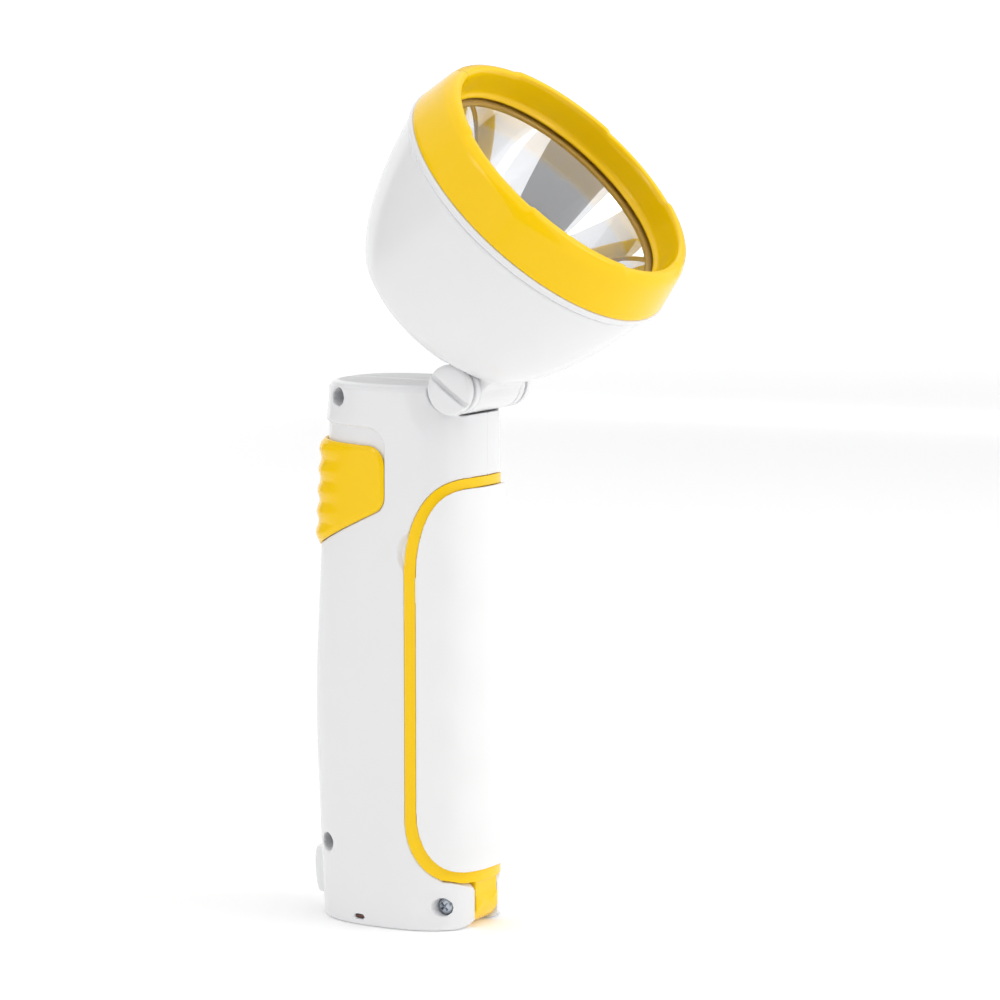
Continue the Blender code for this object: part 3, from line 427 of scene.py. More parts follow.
def body_form():
    """The whole body's column with its rounded foot and top edge."""
    angles = np.linspace(0, math.tau, BODY_SEGMENTS, endpoint=False)
    rounds = np.radians(np.linspace(0, 90, ROUND_STEPS))
    rings = [(BASE_ROUND * (1 - math.cos(a)), -BASE_ROUND * (1 - math.sin(a))) for a in rounds]
    rings += [(z, 0.0) for z in steps_between(3.0, BODY_HEIGHT - TOP_ROUND - 2.0, 2.5)]
    rings += [(BODY_HEIGHT - TOP_ROUND * (1 - math.sin(a)), -TOP_ROUND * (1 - math.cos(a)))
              for a in rounds]
    return loft([oval_points(angles, z, offset) for z, offset in rings])


def box(low, high):
    bm = bmesh.new()
    bmesh.ops.create_cube(bm, size=1.0)
    size, middle = Vector(high) - Vector(low), (Vector(high) + Vector(low)) / 2
    bm.transform(Matrix.Translation(middle) @ Matrix.Diagonal((*size, 1.0)))
    return bm


def turn(profile, segments, shape=None):
    """A turned solid about Z from (radius, height) points; shape may bend each point by angle."""
    bm = bmesh.new()
    open_ended = profile[0][0] == 0 and profile[-1][0] == 0
    rings = []
    for radius, height in profile:
        if radius == 0:
            rings.append([bm.verts.new((0.0, 0.0, height))])
            continue
        ring = []
        for i in range(segments):
            angle = math.tau * i / segments
            r, z = shape(angle, radius, height) if shape else (radius, height)
            ring.append(bm.verts.new((r * math.cos(angle), r * math.sin(angle), z)))
        rings.append(ring)
    pairs = list(zip(rings, rings[1:]))
    if not open_ended:
        pairs.append((rings[-1], rings[0]))
    for first, second in pairs:
        for i in range(segments):
            j = (i + 1) % segments
            corners = [first[i % len(first)], first[j % len(first)],
                       second[j % len(second)], second[i % len(second)]]
            unique = list(dict.fromkeys(corners))
            if len(unique) > 2:
                bm.faces.new(unique)
    return bm


def rod(radius, low, high, segments=64):
    return turn(((0.0, low), (radius, low), (radius, high), (0.0, high)), segments)


def lay_x(y, z):
    """Places a piece turned about Z so that it lies across the torch."""
    return Matrix.Translation((0.0, y, z)) @ Matrix.Rotation(math.pi / 2, 4, "Y")


def rod_x(name, y, z, radius, low, high, segments=64):
    return solid(name, rod(radius, low, high, segments), lay_x(y, z))


def rod_y(name, z, radius, low, high):
    return solid(name, rod(radius, -high, -low, 48),
                 Matrix.Translation((0.0, 0.0, z)) @ Matrix.Rotation(math.pi / 2, 4, "X"))


def slab(outline, low, high):
    """A side outline of (y, z) points, extruded across the torch."""
    bm = bmesh.new()
    loops = [[bm.verts.new((x, y, z)) for y, z in outline] for x in (low, high)]
    for i in range(len(outline)):
        j = (i + 1) % len(outline)
        bm.faces.new((loops[0][i], loops[0][j], loops[1][j], loops[1][i]))
    bm.faces.new(reversed(loops[0]))
    bm.faces.new(loops[1])
    return bm


def filleted(points, radii):
    """An outline with each corner rounded to its own radius."""
    outline = []
    for i, (corner, radius) in enumerate(zip(points, radii)):
        here = Vector(corner)
        if radius == 0:
            outline.append(tuple(here))
            continue
        before = (Vector(points[i - 1]) - here).normalized()
        after = (Vector(points[(i + 1) % len(points)]) - here).normalized()
        half = before.angle(after) / 2
        centre = here + (before + after).normalized() * radius / math.sin(half)
        start = here + before * radius / math.tan(half) - centre
        end = here + after * radius / math.tan(half) - centre
        sweep = start.angle_signed(end)
        for k in range(FILLET_STEPS + 1):
            outline.append(tuple(centre + Matrix.Rotation(-sweep * k / FILLET_STEPS, 2) @ start))
    return outline


def panel_outline(edge, inset=0.0):
    """The side view of the grip panel: straight at the back, a quarter oval at each end."""
    back, top, foot = edge["back"] - inset, edge["top"] - inset, edge["foot"] + inset
    reach = back - FRONT_Y
    outline = [(-FAR, top)]
    for angle in np.linspace(math.pi / 2, 0, PANEL_CURVE_STEPS):
        outline.append((FRONT_Y + reach * math.cos(angle),
                        edge["top_start"] + (top - edge["top_start"]) * math.sin(angle)))
    for angle in np.linspace(0, math.pi / 2, PANEL_CURVE_STEPS):
        outline.append((FRONT_Y + reach * math.cos(angle),
                        edge["foot_start"] - (edge["foot_start"] - foot) * math.sin(angle)))
    outline.append((-FAR, foot))
    return outline


def switch_outline(grow, lift=0.0):
    top_back, top_front, foot_front, foot_back = SWITCH_OUTLINE
    points = (
        (top_back[0], top_back[1] + grow + lift),
        (top_front[0] - grow, top_front[1] + grow + lift),
        (foot_front[0] - grow, foot_front[1] - grow),
        (foot_back[0], foot_back[1] - grow),
    )
    return filleted(points, [radius + grow if radius else 0.0 for radius in SWITCH_CORNERS])


def inside_distance(outline, y, z):
    """How far each (y, z) point lies inside a closed outline; negative outside it."""
    corners = np.array(outline)
    spot = np.stack([y, z], axis=-1)
    nearest = np.full(len(spot), 1e9)
    crossings = np.zeros(len(spot), int)
    for a, b in zip(corners, np.roll(corners, -1, axis=0)):
        along = np.clip(((spot - a) @ (b - a)) / max((b - a) @ (b - a), 1e-12), 0, 1)
        nearest = np.minimum(nearest, np.hypot(*(spot - a - along[:, None] * (b - a)).T))
        straddles = (a[1] > spot[:, 1]) != (b[1] > spot[:, 1])
        with np.errstate(divide="ignore", invalid="ignore"):
            crossing = a[0] + (spot[:, 1] - a[1]) * (b[0] - a[0]) / (b[1] - a[1])
        crossings += straddles & (spot[:, 0] < crossing)
    return np.where(crossings % 2 == 1, nearest, -nearest)


# ---------------------------------------------------------------- materials

def new_material(name):
    made = bpy.data.materials.new(name)
    made.use_nodes = True
    tree = made.node_tree
    shader = tree.nodes["Principled BSDF"]
    place = tree.nodes.new("ShaderNodeTexCoord")
    return made, tree, shader, place.outputs["Object"]


def noise(tree, place, scale, detail, stretch=None):
    if stretch:
        mapping = tree.nodes.new("ShaderNodeMapping")
        mapping.inputs["Scale"].default_value = stretch
        tree.links.new(place, mapping.inputs["Vector"])
        place = mapping.outputs["Vector"]
    node = tree.nodes.new("ShaderNodeTexNoise")
    node.inputs["Scale"].default_value = scale
    node.inputs["Detail"].default_value = detail
    tree.links.new(place, node.inputs["Vector"])
    return node.outputs["Fac"]


def spread(tree, value, low, high):
    """Spreads the middle of a noise over the range from low to high."""
    node = tree.nodes.new("ShaderNodeMapRange")
    node.inputs["From Min"].default_value = 0.3
    node.inputs["From Max"].default_value = 0.7
    node.inputs["To Min"].default_value = low
    node.inputs["To Max"].default_value = high
    tree.links.new(value, node.inputs["Value"])
    return node.outputs["Result"]


def blend_colour(tree, value, first, second):
    node = tree.nodes.new("ShaderNodeMix")
    node.data_type = "RGBA"
    node.inputs["A"].default_value = (*first, 1.0)
    node.inputs["B"].default_value = (*second, 1.0)
    tree.links.new(value, node.inputs["Factor"])
    return node.outputs["Result"]


def bump(tree, shader, height, distance):
    node = tree.nodes.new("ShaderNodeBump")
    node.inputs["Distance"].default_value = distance * MM
    node.inputs["Strength"].default_value = 0.5
    tree.links.new(height, node.inputs["Height"])
    tree.links.new(node.outputs["Normal"], shader.inputs["Normal"])


def moulded(name, first, second, rough, grain=900.0, depth=0.012, scatter=0.0,
            radius=(1.0, 1.0, 1.0), gloss=0.5):
    """Injection-moulded plastic: faint flow in its colour, a cloudy gloss and a fine skin."""
    made, tree, shader, place = new_material(name)
    flow = noise(tree, place, 28.0, 3.0, (1.0, 1.0, 0.35))
    tree.links.new(blend_colour(tree, flow, first, second), shader.inputs["Base Color"])
    tree.links.new(spread(tree, noise(tree, place, 60.0, 5.0), *rough), shader.inputs["Roughness"])
    bump(tree, shader, noise(tree, place, grain, 2.0), depth)
    shader.inputs["IOR"].default_value = 1.5
    shader.inputs["Specular IOR Level"].default_value = gloss
    if scatter:
        shader.inputs["Subsurface Weight"].default_value = scatter
        shader.inputs["Subsurface Radius"].default_value = radius
        shader.inputs["Subsurface Scale"].default_value = 1.2 * MM
    return made


def metal(name, first, second, rough, stretch, grain=600.0, depth=0.01):
    """Bare or plated metal with a drawn or turned grain."""
    made, tree, shader, place = new_material(name)
    lines = noise(tree, place, grain, 3.0, stretch)
    tree.links.new(blend_colour(tree, lines, first, second), shader.inputs["Base Color"])
    tree.links.new(spread(tree, noise(tree, place, 150.0, 4.0), *rough), shader.inputs["Roughness"])
    bump(tree, shader, lines, depth)
    shader.inputs["Metallic"].default_value = 1.0
    return made


def clear(name, tint, rough):
    made, tree, shader, place = new_material(name)
    shader.inputs["Base Color"].default_value = (*tint, 1.0)
    shader.inputs["Transmission Weight"].default_value = 1.0
    shader.inputs["IOR"].default_value = 1.49
    tree.links.new(spread(tree, noise(tree, place, 40.0, 3.0), *rough), shader.inputs["Roughness"])
    return made


def make_materials():
    along, across, even = (1.0, 1.0, 0.1), (1.0, 0.1, 1.0), (1.0, 1.0, 1.0)
    return {
        "white_plastic": moulded("white_plastic", (0.82, 0.82, 0.83), (0.84, 0.84, 0.85), (0.16, 0.24),
                                 scatter=0.06),
        "grip_plastic": moulded("grip_plastic", (0.868, 0.868, 0.868), (0.876, 0.876, 0.876), (0.30, 0.34),
                                grain=1500.0, depth=0.02, scatter=0.06),
        "yellow_plastic": moulded("yellow_plastic", (0.97, 0.605, 0.0), (1.0, 0.635, 0.002), (0.12, 0.18),
                                  scatter=0.08, radius=(1.0, 0.6, 0.05), gloss=0.3),
        "dark_plastic": moulded("dark_plastic", (0.025, 0.025, 0.028), (0.04, 0.04, 0.043), (0.35, 0.5)),
        # Painted shade: the gasket ring is coloured a deep amber, darker than its own pale colour, to paint the
        # shaded gap under the yellow bezel's inner lip; the ring itself is real.
        "gasket": moulded("gasket", (0.80, 0.46, 0.10), (0.86, 0.52, 0.14), (0.4, 0.55),
                          depth=0.02, scatter=0.1),
        "chrome": metal("chrome", (0.92, 0.92, 0.94), (0.95, 0.95, 0.96), (0.015, 0.035), even, 40.0, 0.0005),
        "steel": metal("steel", (0.42, 0.46, 0.52), (0.56, 0.60, 0.66), (0.22, 0.38), along),
        "aluminium": metal("aluminium", (0.72, 0.72, 0.74), (0.80, 0.80, 0.81), (0.28, 0.42), across),
        "circuit_board": moulded("circuit_board", (0.015, 0.16, 0.06), (0.03, 0.26, 0.11), (0.28, 0.4),
                                 grain=500.0),
        "cell_wrap": moulded("cell_wrap", (0.03, 0.12, 0.42), (0.05, 0.17, 0.5), (0.18, 0.3), grain=300.0),
        "lead_red": moulded("lead_red", (0.55, 0.015, 0.015), (0.62, 0.03, 0.02), (0.3, 0.4)),
        "lead_black": moulded("lead_black", (0.02, 0.02, 0.02), (0.035, 0.035, 0.035), (0.3, 0.4)),
        "indicator": moulded("indicator", (0.10, 0.03, 0.02), (0.14, 0.05, 0.03), (0.2, 0.3)),
        "led_phosphor": moulded("led_phosphor", (0.85, 0.68, 0.12), (0.92, 0.78, 0.22), (0.35, 0.5),
                                grain=2500.0),
        "clear_lens": clear("clear_lens", (0.99, 0.995, 1.0), (0.0, 0.02)),
    }


def finish_piece(piece, body, material, slot, *nodes):
    """Gives a fine piece its material, its body and the CAD nodes that it stands for."""
    piece.data.materials.clear()
    piece.data.materials.append(material)
    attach(piece, body)
    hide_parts(*nodes)


def crisp(piece, angle):
    """Shades the piece smooth but for the edges sharper than the angle."""
    piece.data.shade_smooth()
    piece.data.set_sharp_from_angle(angle=math.radians(angle))
    return piece


# ---------------------------------------------------------------- the head

PIVOT = Matrix.Translation((0.0, PIVOT_Y, PIVOT_Z)) @ Matrix.Rotation(math.radians(HEAD_TILT), 4, "X")
HEAD_AXIS = PIVOT @ Matrix.Translation((0.0, HEAD_OFFSET, HEAD_RISE))


def bowl_radius(depth):
    return BOWL_RADIUS * (1 - (depth / BOWL_FORM_DEPTH) ** BOWL_FORM_POWER) ** (1 / BOWL_FORM_ROOT)


def snap_to_bowl(bowl, first_depth):
    """Moves the points that lie close to the bowl's smooth form exactly onto it."""
    axes = HEAD_AXIS.to_3x3()
    local = points_of(bowl) @ np.array(axes) - np.array(axes.transposed() @ HEAD_AXIS.translation)
    depth, radius = -local[:, 2], np.hypot(local[:, 0], local[:, 1])
    on_form = (depth > first_depth) & (depth < 43.0)
    off = np.where(on_form, bowl_radius(np.clip(depth, 0.0, 45.0)) - radius, 9.0)
    share = 1 - smooth_step((np.abs(off) - 0.1) / 0.1)
    local[:, :2] *= (1 + off * share / np.maximum(radius, 1e-6))[:, None]
    set_points(bowl, local @ np.array(axes).T + np.array(HEAD_AXIS.translation))


def make_bowl(looks):
    """The bowl below its rim, with the hinge barrel grown out of its foot."""
    rim_foot = 2.3
    corner = 3.0
    outer = [(bowl_radius(depth), -depth) for depth in np.linspace(rim_foot, 42.5, 40)]
    turn_in = [(bowl_radius(BOWL_DEPTH) - corner * (1 - math.cos(a)) * 0.9 - 0.1,
                -BOWL_DEPTH + 1.6 * (1 - math.sin(a))) for a in np.radians(np.linspace(10, 90, 7))]
    outer += [*turn_in, (0.0, -BOWL_DEPTH - 0.6)]
    floor = BOWL_DEPTH - BOWL_BACK_WALL
    inner = [(0.0, -floor), (bowl_radius(floor) - BOWL_WALL - 3.0, -floor)]
    inner += [(bowl_radius(depth) - BOWL_WALL - 0.02 * depth, -depth)
              for depth in np.linspace(39.0, rim_foot, 26)]
    bowl = solid("head_bowl", turn(inner + outer, 180), HEAD_AXIS)
    bevel = 0.7
    barrel_form = ((0.0, -NECK_HALF), (BARREL_RADIUS - bevel, -NECK_HALF), (BARREL_RADIUS, -NECK_HALF + bevel),
                   (BARREL_RADIUS, NECK_HALF - bevel), (BARREL_RADIUS - bevel, NECK_HALF), (0.0, NECK_HALF))
    barrel = solid("barrel", turn(barrel_form, 72), PIVOT @ Matrix.Rotation(math.pi / 2, 4, "Y"))
    saddle = solid("saddle", box((-NECK_HALF, -5.6, 0.0), (NECK_HALF, 6.5, BARREL_RADIUS + 0.3)), PIVOT)
    steps = [join(barrel), join(saddle)]
    for side in (-1, 1):
        low, high = sorted((side * NECK_HALF, side * (CAP_OUTER + 6.0)))
        relief = rod(BARREL_RADIUS + 0.6, low, high, 72)
        steps.append(cut(solid("relief", relief, PIVOT @ Matrix.Rotation(math.pi / 2, 4, "Y"))))
    bore = rod(BOLT_RADIUS + 0.2, -FAR, FAR, 32)
    steps.append(cut(solid("bore", bore, PIVOT @ Matrix.Rotation(math.pi / 2, 4, "Y"))))
    carve(bowl, *steps)
    soften(bowl, *SKIN["bowl"])
    snap_to_bowl(bowl, rim_foot + 0.6)
    finish_piece(bowl, "head", looks["white_plastic"], "white_plastic", "head_shell")

    inner_radius = bowl_radius(2.2) - BOWL_WALL
    rim = [(inner_radius, -rim_foot), (inner_radius, 0.0), (LIP_RADIUS - 0.5, 0.0), (LIP_RADIUS - 0.15, -0.12),
           (LIP_RADIUS, -0.45), (LIP_RADIUS, -1.2), (LIP_RADIUS - 0.12, -1.6), (LIP_RADIUS - 0.45, -1.9),
           (bowl_radius(2.0) + 0.05, -rim_foot)]
    ring = crisp(solid("head_rim", turn(rim, 240), HEAD_AXIS), 60)
    finish_piece(ring, "head", looks["white_plastic"], "white_plastic", "head_shell")


def lug_lift(angle, radius, height):
    """Raises the bezel's front crest over four arcs."""
    turned = math.degrees(angle)
    lift = max(min((turned - start) / LUG_RAMP, (start + LUG_SPAN - turned) / LUG_RAMP, 1.0)
               for start in LUG_STARTS)
    on_top = smooth_step((height - CREST_FOOT) / CREST_RISE)
    on_crest = float(on_top * smooth_step((radius - CREST_RADIUS) / CREST_WIDTH))
    lifted = max(lift, 0.0) * on_crest
    return radius, height + LUG_HEIGHT * (lifted - 1.0) * on_crest + CREST_LIFT * on_crest


def make_bezel(looks):
    """The ring's profile runs up its skirt, its inner wall, over the crest and down its outside."""
    skirt_out, skirt_in, skirt_foot, lip_foot = 40.8, LENS_RADIUS + 0.4, -3.0, 4.9
    wall_radius, wall_foot, crest_radius, crest_foot = 36.85, 6.5, 42.4, 10.3
    outer_radius, outer_foot = LIP_RADIUS - 0.25, 0.55
    profile = [(outer_radius, outer_foot), (LIP_RADIUS - 0.35, 0.2), (LIP_RADIUS - 0.7, 0.12), (skirt_out, 0.12),
               (skirt_out, skirt_foot), (skirt_in, skirt_foot), (skirt_in, lip_foot),
               (APERTURE_RADIUS + 0.2, lip_foot), (APERTURE_RADIUS, lip_foot + 0.2), (APERTURE_RADIUS, 5.4),
               (APERTURE_RADIUS + 0.25, 5.75), (36.5, 6.0), (wall_radius, wall_foot)]
    profile += [(wall_radius + 0.9 * t, wall_foot + 6.0 * t) for t in np.linspace(0.15, 1.0, 7)]
    profile += [(37.85, 13.0), (38.0, 13.5), (38.25, 13.95), (38.6, 14.15), (39.2, 14.2), (39.8, 14.1),
                (40.3, 13.85), (40.85, 13.4), (41.3, 12.85), (41.75, 12.1), (42.1, 11.3),
                (crest_radius, crest_foot)]
    profile += [(crest_radius + (outer_radius - crest_radius) * t, crest_foot + (outer_foot - crest_foot) * t)
                for t in np.linspace(0.1, 0.92, 10)]
    bezel = crisp(solid("bezel_ring", turn(profile, 360, lug_lift), HEAD_AXIS), 50)
    finish_piece(bezel, "head", looks["yellow_plastic"], "yellow_plastic", "bezel")


def make_optics(looks):
    edge, lens_foot, lens_top = LENS_RADIUS, 2.7, 4.6
    disc = ((0.0, lens_top), (edge - 0.4, lens_top), (edge - 0.1, 4.5), (edge, 4.2), (edge, 3.1), (edge - 0.1, 2.8),
            (edge - 0.4, lens_foot), (0.0, lens_foot))
    lens = crisp(solid("lens_disc", turn(disc, 200), HEAD_AXIS), 12)
    finish_piece(lens, "head", looks["clear_lens"], "clear_lens", "front_lens")

    steps, thick = 40, 1.2
    mouth = math.sqrt(4 * FOCAL_LENGTH * (REFLECTOR_TOP - REFLECTOR_APEX))
    radii = np.linspace(mouth, REFLECTOR_HOLE, steps)
    dish = [(radius, REFLECTOR_APEX + radius ** 2 / (4 * FOCAL_LENGTH)) for radius in radii]
    back = [(radius + 0.7 * thick, height - 0.7 * thick) for radius, height in dish[2:]]
    flange = [(LENS_RADIUS - 0.3, REFLECTOR_TOP), (LENS_RADIUS - 0.3, REFLECTOR_TOP - thick),
              (mouth + thick, REFLECTOR_TOP - thick)]
    bowl = crisp(solid("reflector_dish", turn(flange + back + dish[::-1], 240), HEAD_AXIS), 50)
    finish_piece(bowl, "head", looks["chrome"], "chrome", "reflector")

    low, high, rounding = REFLECTOR_TOP + 0.05, REFLECTOR_TOP + 0.95, 0.2
    inner, outer = mouth + 0.1, LENS_RADIUS - 0.4
    section = ((inner, low + rounding), (inner + rounding, low), (outer - rounding, low),
               (outer, low + rounding), (outer, high - rounding), (outer - rounding, high),
               (inner + rounding, high), (inner, high - rounding))
    # The ring's amber material paints the shade under the bezel's inner lip.
    gasket = crisp(solid("gasket_ring", turn(section, 180), HEAD_AXIS), 50)
    finish_piece(gasket, "head", looks["gasket"], "gasket", "lens_gasket")


# ---------------------------------------------------------------- the body

def dish_in(points, y, z, radius, inner, depth):
    """Presses a soft round dish into the body's sides about a cross axis."""
    away = np.hypot(points[:, 1] - y, points[:, 2] - z)
    press = depth * smooth_step((radius - away) / (radius - inner))
    press *= smooth_step((np.abs(points[:, 0]) - 8.0) / 5.0)
    points[:, 0] -= np.sign(points[:, 0]) * press
    return points


def body_hollow():
    """The room inside the body, less the walls and bosses that stand in it."""
    hollow = solid("hollow", oval_column(FLOOR, BODY_HEIGHT - FLOOR, -WALL, 5.0, 96))
    carve(
        hollow,
        cut(solid("panel_room", slab(panel_outline(PANEL_EDGE, -WALL - GAP), -FAR, FAR))),
        cut(rod_x("neck_wall", PIVOT_Y, PIVOT_Z, BARREL_RADIUS + 2.6, -FAR, FAR)),
        cut(rod_x("cheek_wall", PANEL_PIVOT_Y, PANEL_PIVOT_Z, CHEEK_RADIUS + 1.6, -FAR, FAR)),
        cut(rod_x("top_boss", *TOP_SCREW, BOSS_RADIUS, -FAR, FAR)),
        cut(rod_x("back_boss", *BACK_SCREW, BOSS_RADIUS, -FAR, FAR)),
    )
    return hollow


def far_half(side):
    """What lies beyond the seam for one shell, with the lap in the floor."""
    if side < 0:
        beyond = solid("beyond", box((-SEAM / 2, -FAR, -5.0), (FAR, FAR, 200.0)))
        tongue = solid("tongue", box((-1.0, TONGUE_FRONT, -6.0), (TONGUE_REACH, TONGUE_BACK, FLOOR)))
        return carve(beyond, cut(tongue))
    beyond = solid("beyond", box((-FAR, -FAR, -5.0), (SEAM / 2, FAR, 200.0)))
    rebate = solid("rebate", box((-1.0, TONGUE_FRONT - SEAM, -6.0),
                                 (TONGUE_REACH + SEAM, TONGUE_BACK + SEAM, FLOOR + SEAM)))
    return carve(beyond, join(rebate))


def ball(name, centre, radius):
    bm = bmesh.new()
    bmesh.ops.create_uvsphere(bm, u_segments=96, v_segments=48, radius=radius)
    return solid(name, bm, Matrix.Translation(centre))


def whole_housing():
    """The hollow body before it is split into its two shells."""
    whole = solid("whole", body_form())
    corner_top = PANEL_EDGE["foot"] + 3.5
    foot_corner = solid("corner", box((-FAR, -FAR, -5.0), (FAR, PANEL_PIVOT_Y, corner_top)))
    carve(foot_corner, cut(rod_x("cheek", PANEL_PIVOT_Y, PANEL_PIVOT_Z, CHEEK_RADIUS, -FAR, FAR, 96)))
    track = solid("track", slab(switch_outline(GAP, SWITCH_TRAVEL), -FAR, FAR))
    carve(track, cut(solid("track_floor", oval_column(90.0, 160.0, -RECESS_DEPTH, 3.0, 120))))
    bay_half = KNUCKLE_HALF + GAP
    knuckle_bay = rod_x("bay", PANEL_PIVOT_Y, PANEL_PIVOT_Z, CHEEK_RADIUS + 0.2, -bay_half, bay_half)
    stem_slot = solid("stem", box((-STEM_HALF - 0.4, 10.0, STEM_FOOT - 0.5),
                                  (STEM_HALF + 0.4, 40.0, STEM_TOP + SWITCH_TRAVEL + 0.5)))
    carve(
        whole,
        cut(body_hollow()),
        cut(rod_x("neck", PIVOT_Y, PIVOT_Z, BARREL_RADIUS + 0.5, -EAR_INNER + 0.1, EAR_INNER - 0.1, 96)),
        cut(rod_x("cap_left", PIVOT_Y, PIVOT_Z, BARREL_RADIUS + 0.3, -FAR, -EAR_OUTER, 96)),
        cut(rod_x("cap_right", PIVOT_Y, PIVOT_Z, BARREL_RADIUS + 0.3, EAR_OUTER, FAR, 96)),
        join(rod_x("ear_left", PIVOT_Y, PIVOT_Z, BARREL_RADIUS, -EAR_OUTER, -EAR_INNER, 96)),
        join(rod_x("ear_right", PIVOT_Y, PIVOT_Z, BARREL_RADIUS, EAR_INNER, EAR_OUTER, 96)),
        cut(solid("panel_bay", slab(panel_outline(PANEL_EDGE), -FAR, FAR))),
        cut(knuckle_bay),
        cut(foot_corner),
        cut(track),
        cut(ball("notch_left", (-NOTCH_PLACE[0], *NOTCH_PLACE[1:]), NOTCH_RADIUS)),
        cut(ball("notch_right", NOTCH_PLACE, NOTCH_RADIUS)),
        cut(rod_x("pivot_bore", PIVOT_Y, PIVOT_Z, BOLT_RADIUS + 0.2, -FAR, FAR, 32)),
        cut(stem_slot),
        cut(rod_y("port", PORT_Z, PORT_RADIUS + 0.4, 12.0, 40.0)),
    )
    return whole


def make_housings(looks):
    whole = whole_housing()
    pilot = SCREW_SHANK_RADIUS + 0.2
    spots = {TOP_SCREW: CASE_WELL_FLOOR, BACK_SCREW: CASE_WELL_FLOOR, HINGE_SCREW: HINGE_WELL_FLOOR}
    for side, name in ((-1, "left"), (1, "right")):
        shell = bpy.data.objects.new(f"shell_{name}", whole.data.copy())
        bpy.context.scene.collection.objects.link(shell)
        steps = [cut(far_half(side))]
        steps += [cut(rod_x("pilot", *spot, pilot, -FAR, BORE_END, 24)) for spot in spots]
        if side < 0:
            steps += [cut(rod_x("well", *spot, WELL_RADIUS, -FAR, floor_x, 64))
                      for spot, floor_x in spots.items()]
            slot = box((-FAR, *INDICATOR_SLOT_LOW), (-15.0, *INDICATOR_SLOT_HIGH))
            steps.append(cut(solid("slot", slot)))
        carve(shell, *steps)
        soften(shell, *SKIN["shell"])
        snap_to_oval(shell, 0.0, -RECESS_DEPTH, reach=0.3)
        close_seam(shell, side)
        points = points_of(shell)
        points = dish_in(points, PIVOT_Y, PIVOT_Z, 15.0, 7.6, 1.1)
        if side < 0:
            points = dish_in(points, PANEL_PIVOT_Y + 1.6, PANEL_PIVOT_Z, 6.4, 1.6, 0.9)
            points = dish_in(points, *TOP_SCREW, 3.6, 2.4, 0.25)
            points = dish_in(points, *BACK_SCREW, 3.8, 2.4, 0.3)
        set_points(shell, points)
        crisp(shell, 60)
        finish_piece(shell, "body", looks["white_plastic"], "white_plastic", f"housing_{name}")
    bpy.data.objects.remove(whole)


def make_screws(looks):
    """Cross-head screws with turned threads, each lying across the body from its well's floor."""
    head, shank, thread_root = SCREW_HEAD_RADIUS, SCREW_SHANK_RADIUS, 0.82
    for name, (y, z), well_floor, length in (("case_screw_top", TOP_SCREW, CASE_WELL_FLOOR, 20.0),
                                             ("case_screw_back", BACK_SCREW, CASE_WELL_FLOOR, 20.0),
                                             ("panel_hinge_screw", HINGE_SCREW, HINGE_WELL_FLOOR, 25.0)):
        head_x = well_floor - 1.9
        profile = [(0.0, length), (0.4 * shank, length), (shank, length - 1.6)]
        for k, height in enumerate(np.linspace(length - 1.8, 2.4, 44)):
            profile.append((shank if k % 2 else shank * thread_root, height))
        profile += [(shank, 1.7), (head - 0.1, 1.65), (head, 1.5), (head, 0.9), (head * 0.93, 0.55),
                    (head * 0.75, 0.25), (head * 0.45, 0.07), (0.0, 0.0)]
        place = Matrix.Translation((head_x, y, z))
        screw = solid(f"{name}_fine", turn(profile, 64), place @ Matrix.Rotation(math.pi / 2, 4, "Y"))
        arms = []
        for angle in (45, 135):
            arm = box((-0.2, -1.45, -0.33), (1.1, 1.45, 0.33))
            arms.append(cut(solid("arm", arm, place @ Matrix.Rotation(math.radians(angle), 4, "X"))))
        crisp(carve(screw, *arms), 30)
        finish_piece(screw, "body", looks["steel"], "steel", name)


def make_caps(looks):
    radius = BARREL_RADIUS - 0.1
    inner = EAR_OUTER + 0.15
    thick = CAP_OUTER - inner
    dome = [(0.0, thick + 0.5)]
    dome += [(radius * t, thick + 0.5 - 0.95 * t ** 4) for t in np.linspace(0.1, 0.9, 12)]
    dome += [(radius * 0.96, thick - 0.55), (radius * 0.99, thick - 0.95), (radius, thick - 1.4),
             (radius, 0.15), (radius - 0.15, 0.0), (0.0, 0.0)]
    for side, name in ((-1, "pivot_cap"), (1, "pivot_nut_cap")):
        facing = Matrix.Rotation(side * math.pi / 2, 4, "Y")
        cap = solid(f"{name}_fine", turn(dome, 128), Matrix.Translation((side * inner, PIVOT_Y, PIVOT_Z)) @ facing)
        if side < 0:
            slot = box((-FAR, -FAR, -0.8), (-inner - thick + 1.3, FAR, 0.8))
            turned = Matrix.Translation((0.0, PIVOT_Y, PIVOT_Z)) @ Matrix.Rotation(math.radians(36), 4, "X")
            carve(cap, cut(solid("coin", slot, turned)))
        soften(cap, *SKIN["cap"])
        finish_piece(cap, "body", looks["white_plastic"], "white_plastic", name)


# ---------------------------------------------------------------- the grip panel

def grip_bulge(angle, z):
    """How far the grip cover stands out of the body's oval, with its finger grooves."""
    front = smooth_step((-np.sin(angle) - 0.40) / 0.50)
    ends = smooth_step((COVER_EDGE["top"] + 2 - z) / 20) * smooth_step((z - COVER_EDGE["foot"] + 6) / 14)
    crest = np.cos(math.tau * (z - FIRST_GROOVE_CREST) / GROOVE_PITCH)
    swell = 0.9
    return 0.3 + front * (swell + ends * (COVER_BULGE - swell + crest * GROOVE_DEPTH / 2))


def clipped_shell(name, outline, outer, inner, step):
    """The part of a shell between two oval surfaces that lies inside a side outline."""
    shell = solid(name, oval_column(8.0, 134.0, outer, step, 150))
    inside = solid("inside", oval_column(4.0, 138.0, inner, step, 150))
    return carve(shell, cut(inside), keep(solid("outline", slab(outline, -FAR, FAR))))


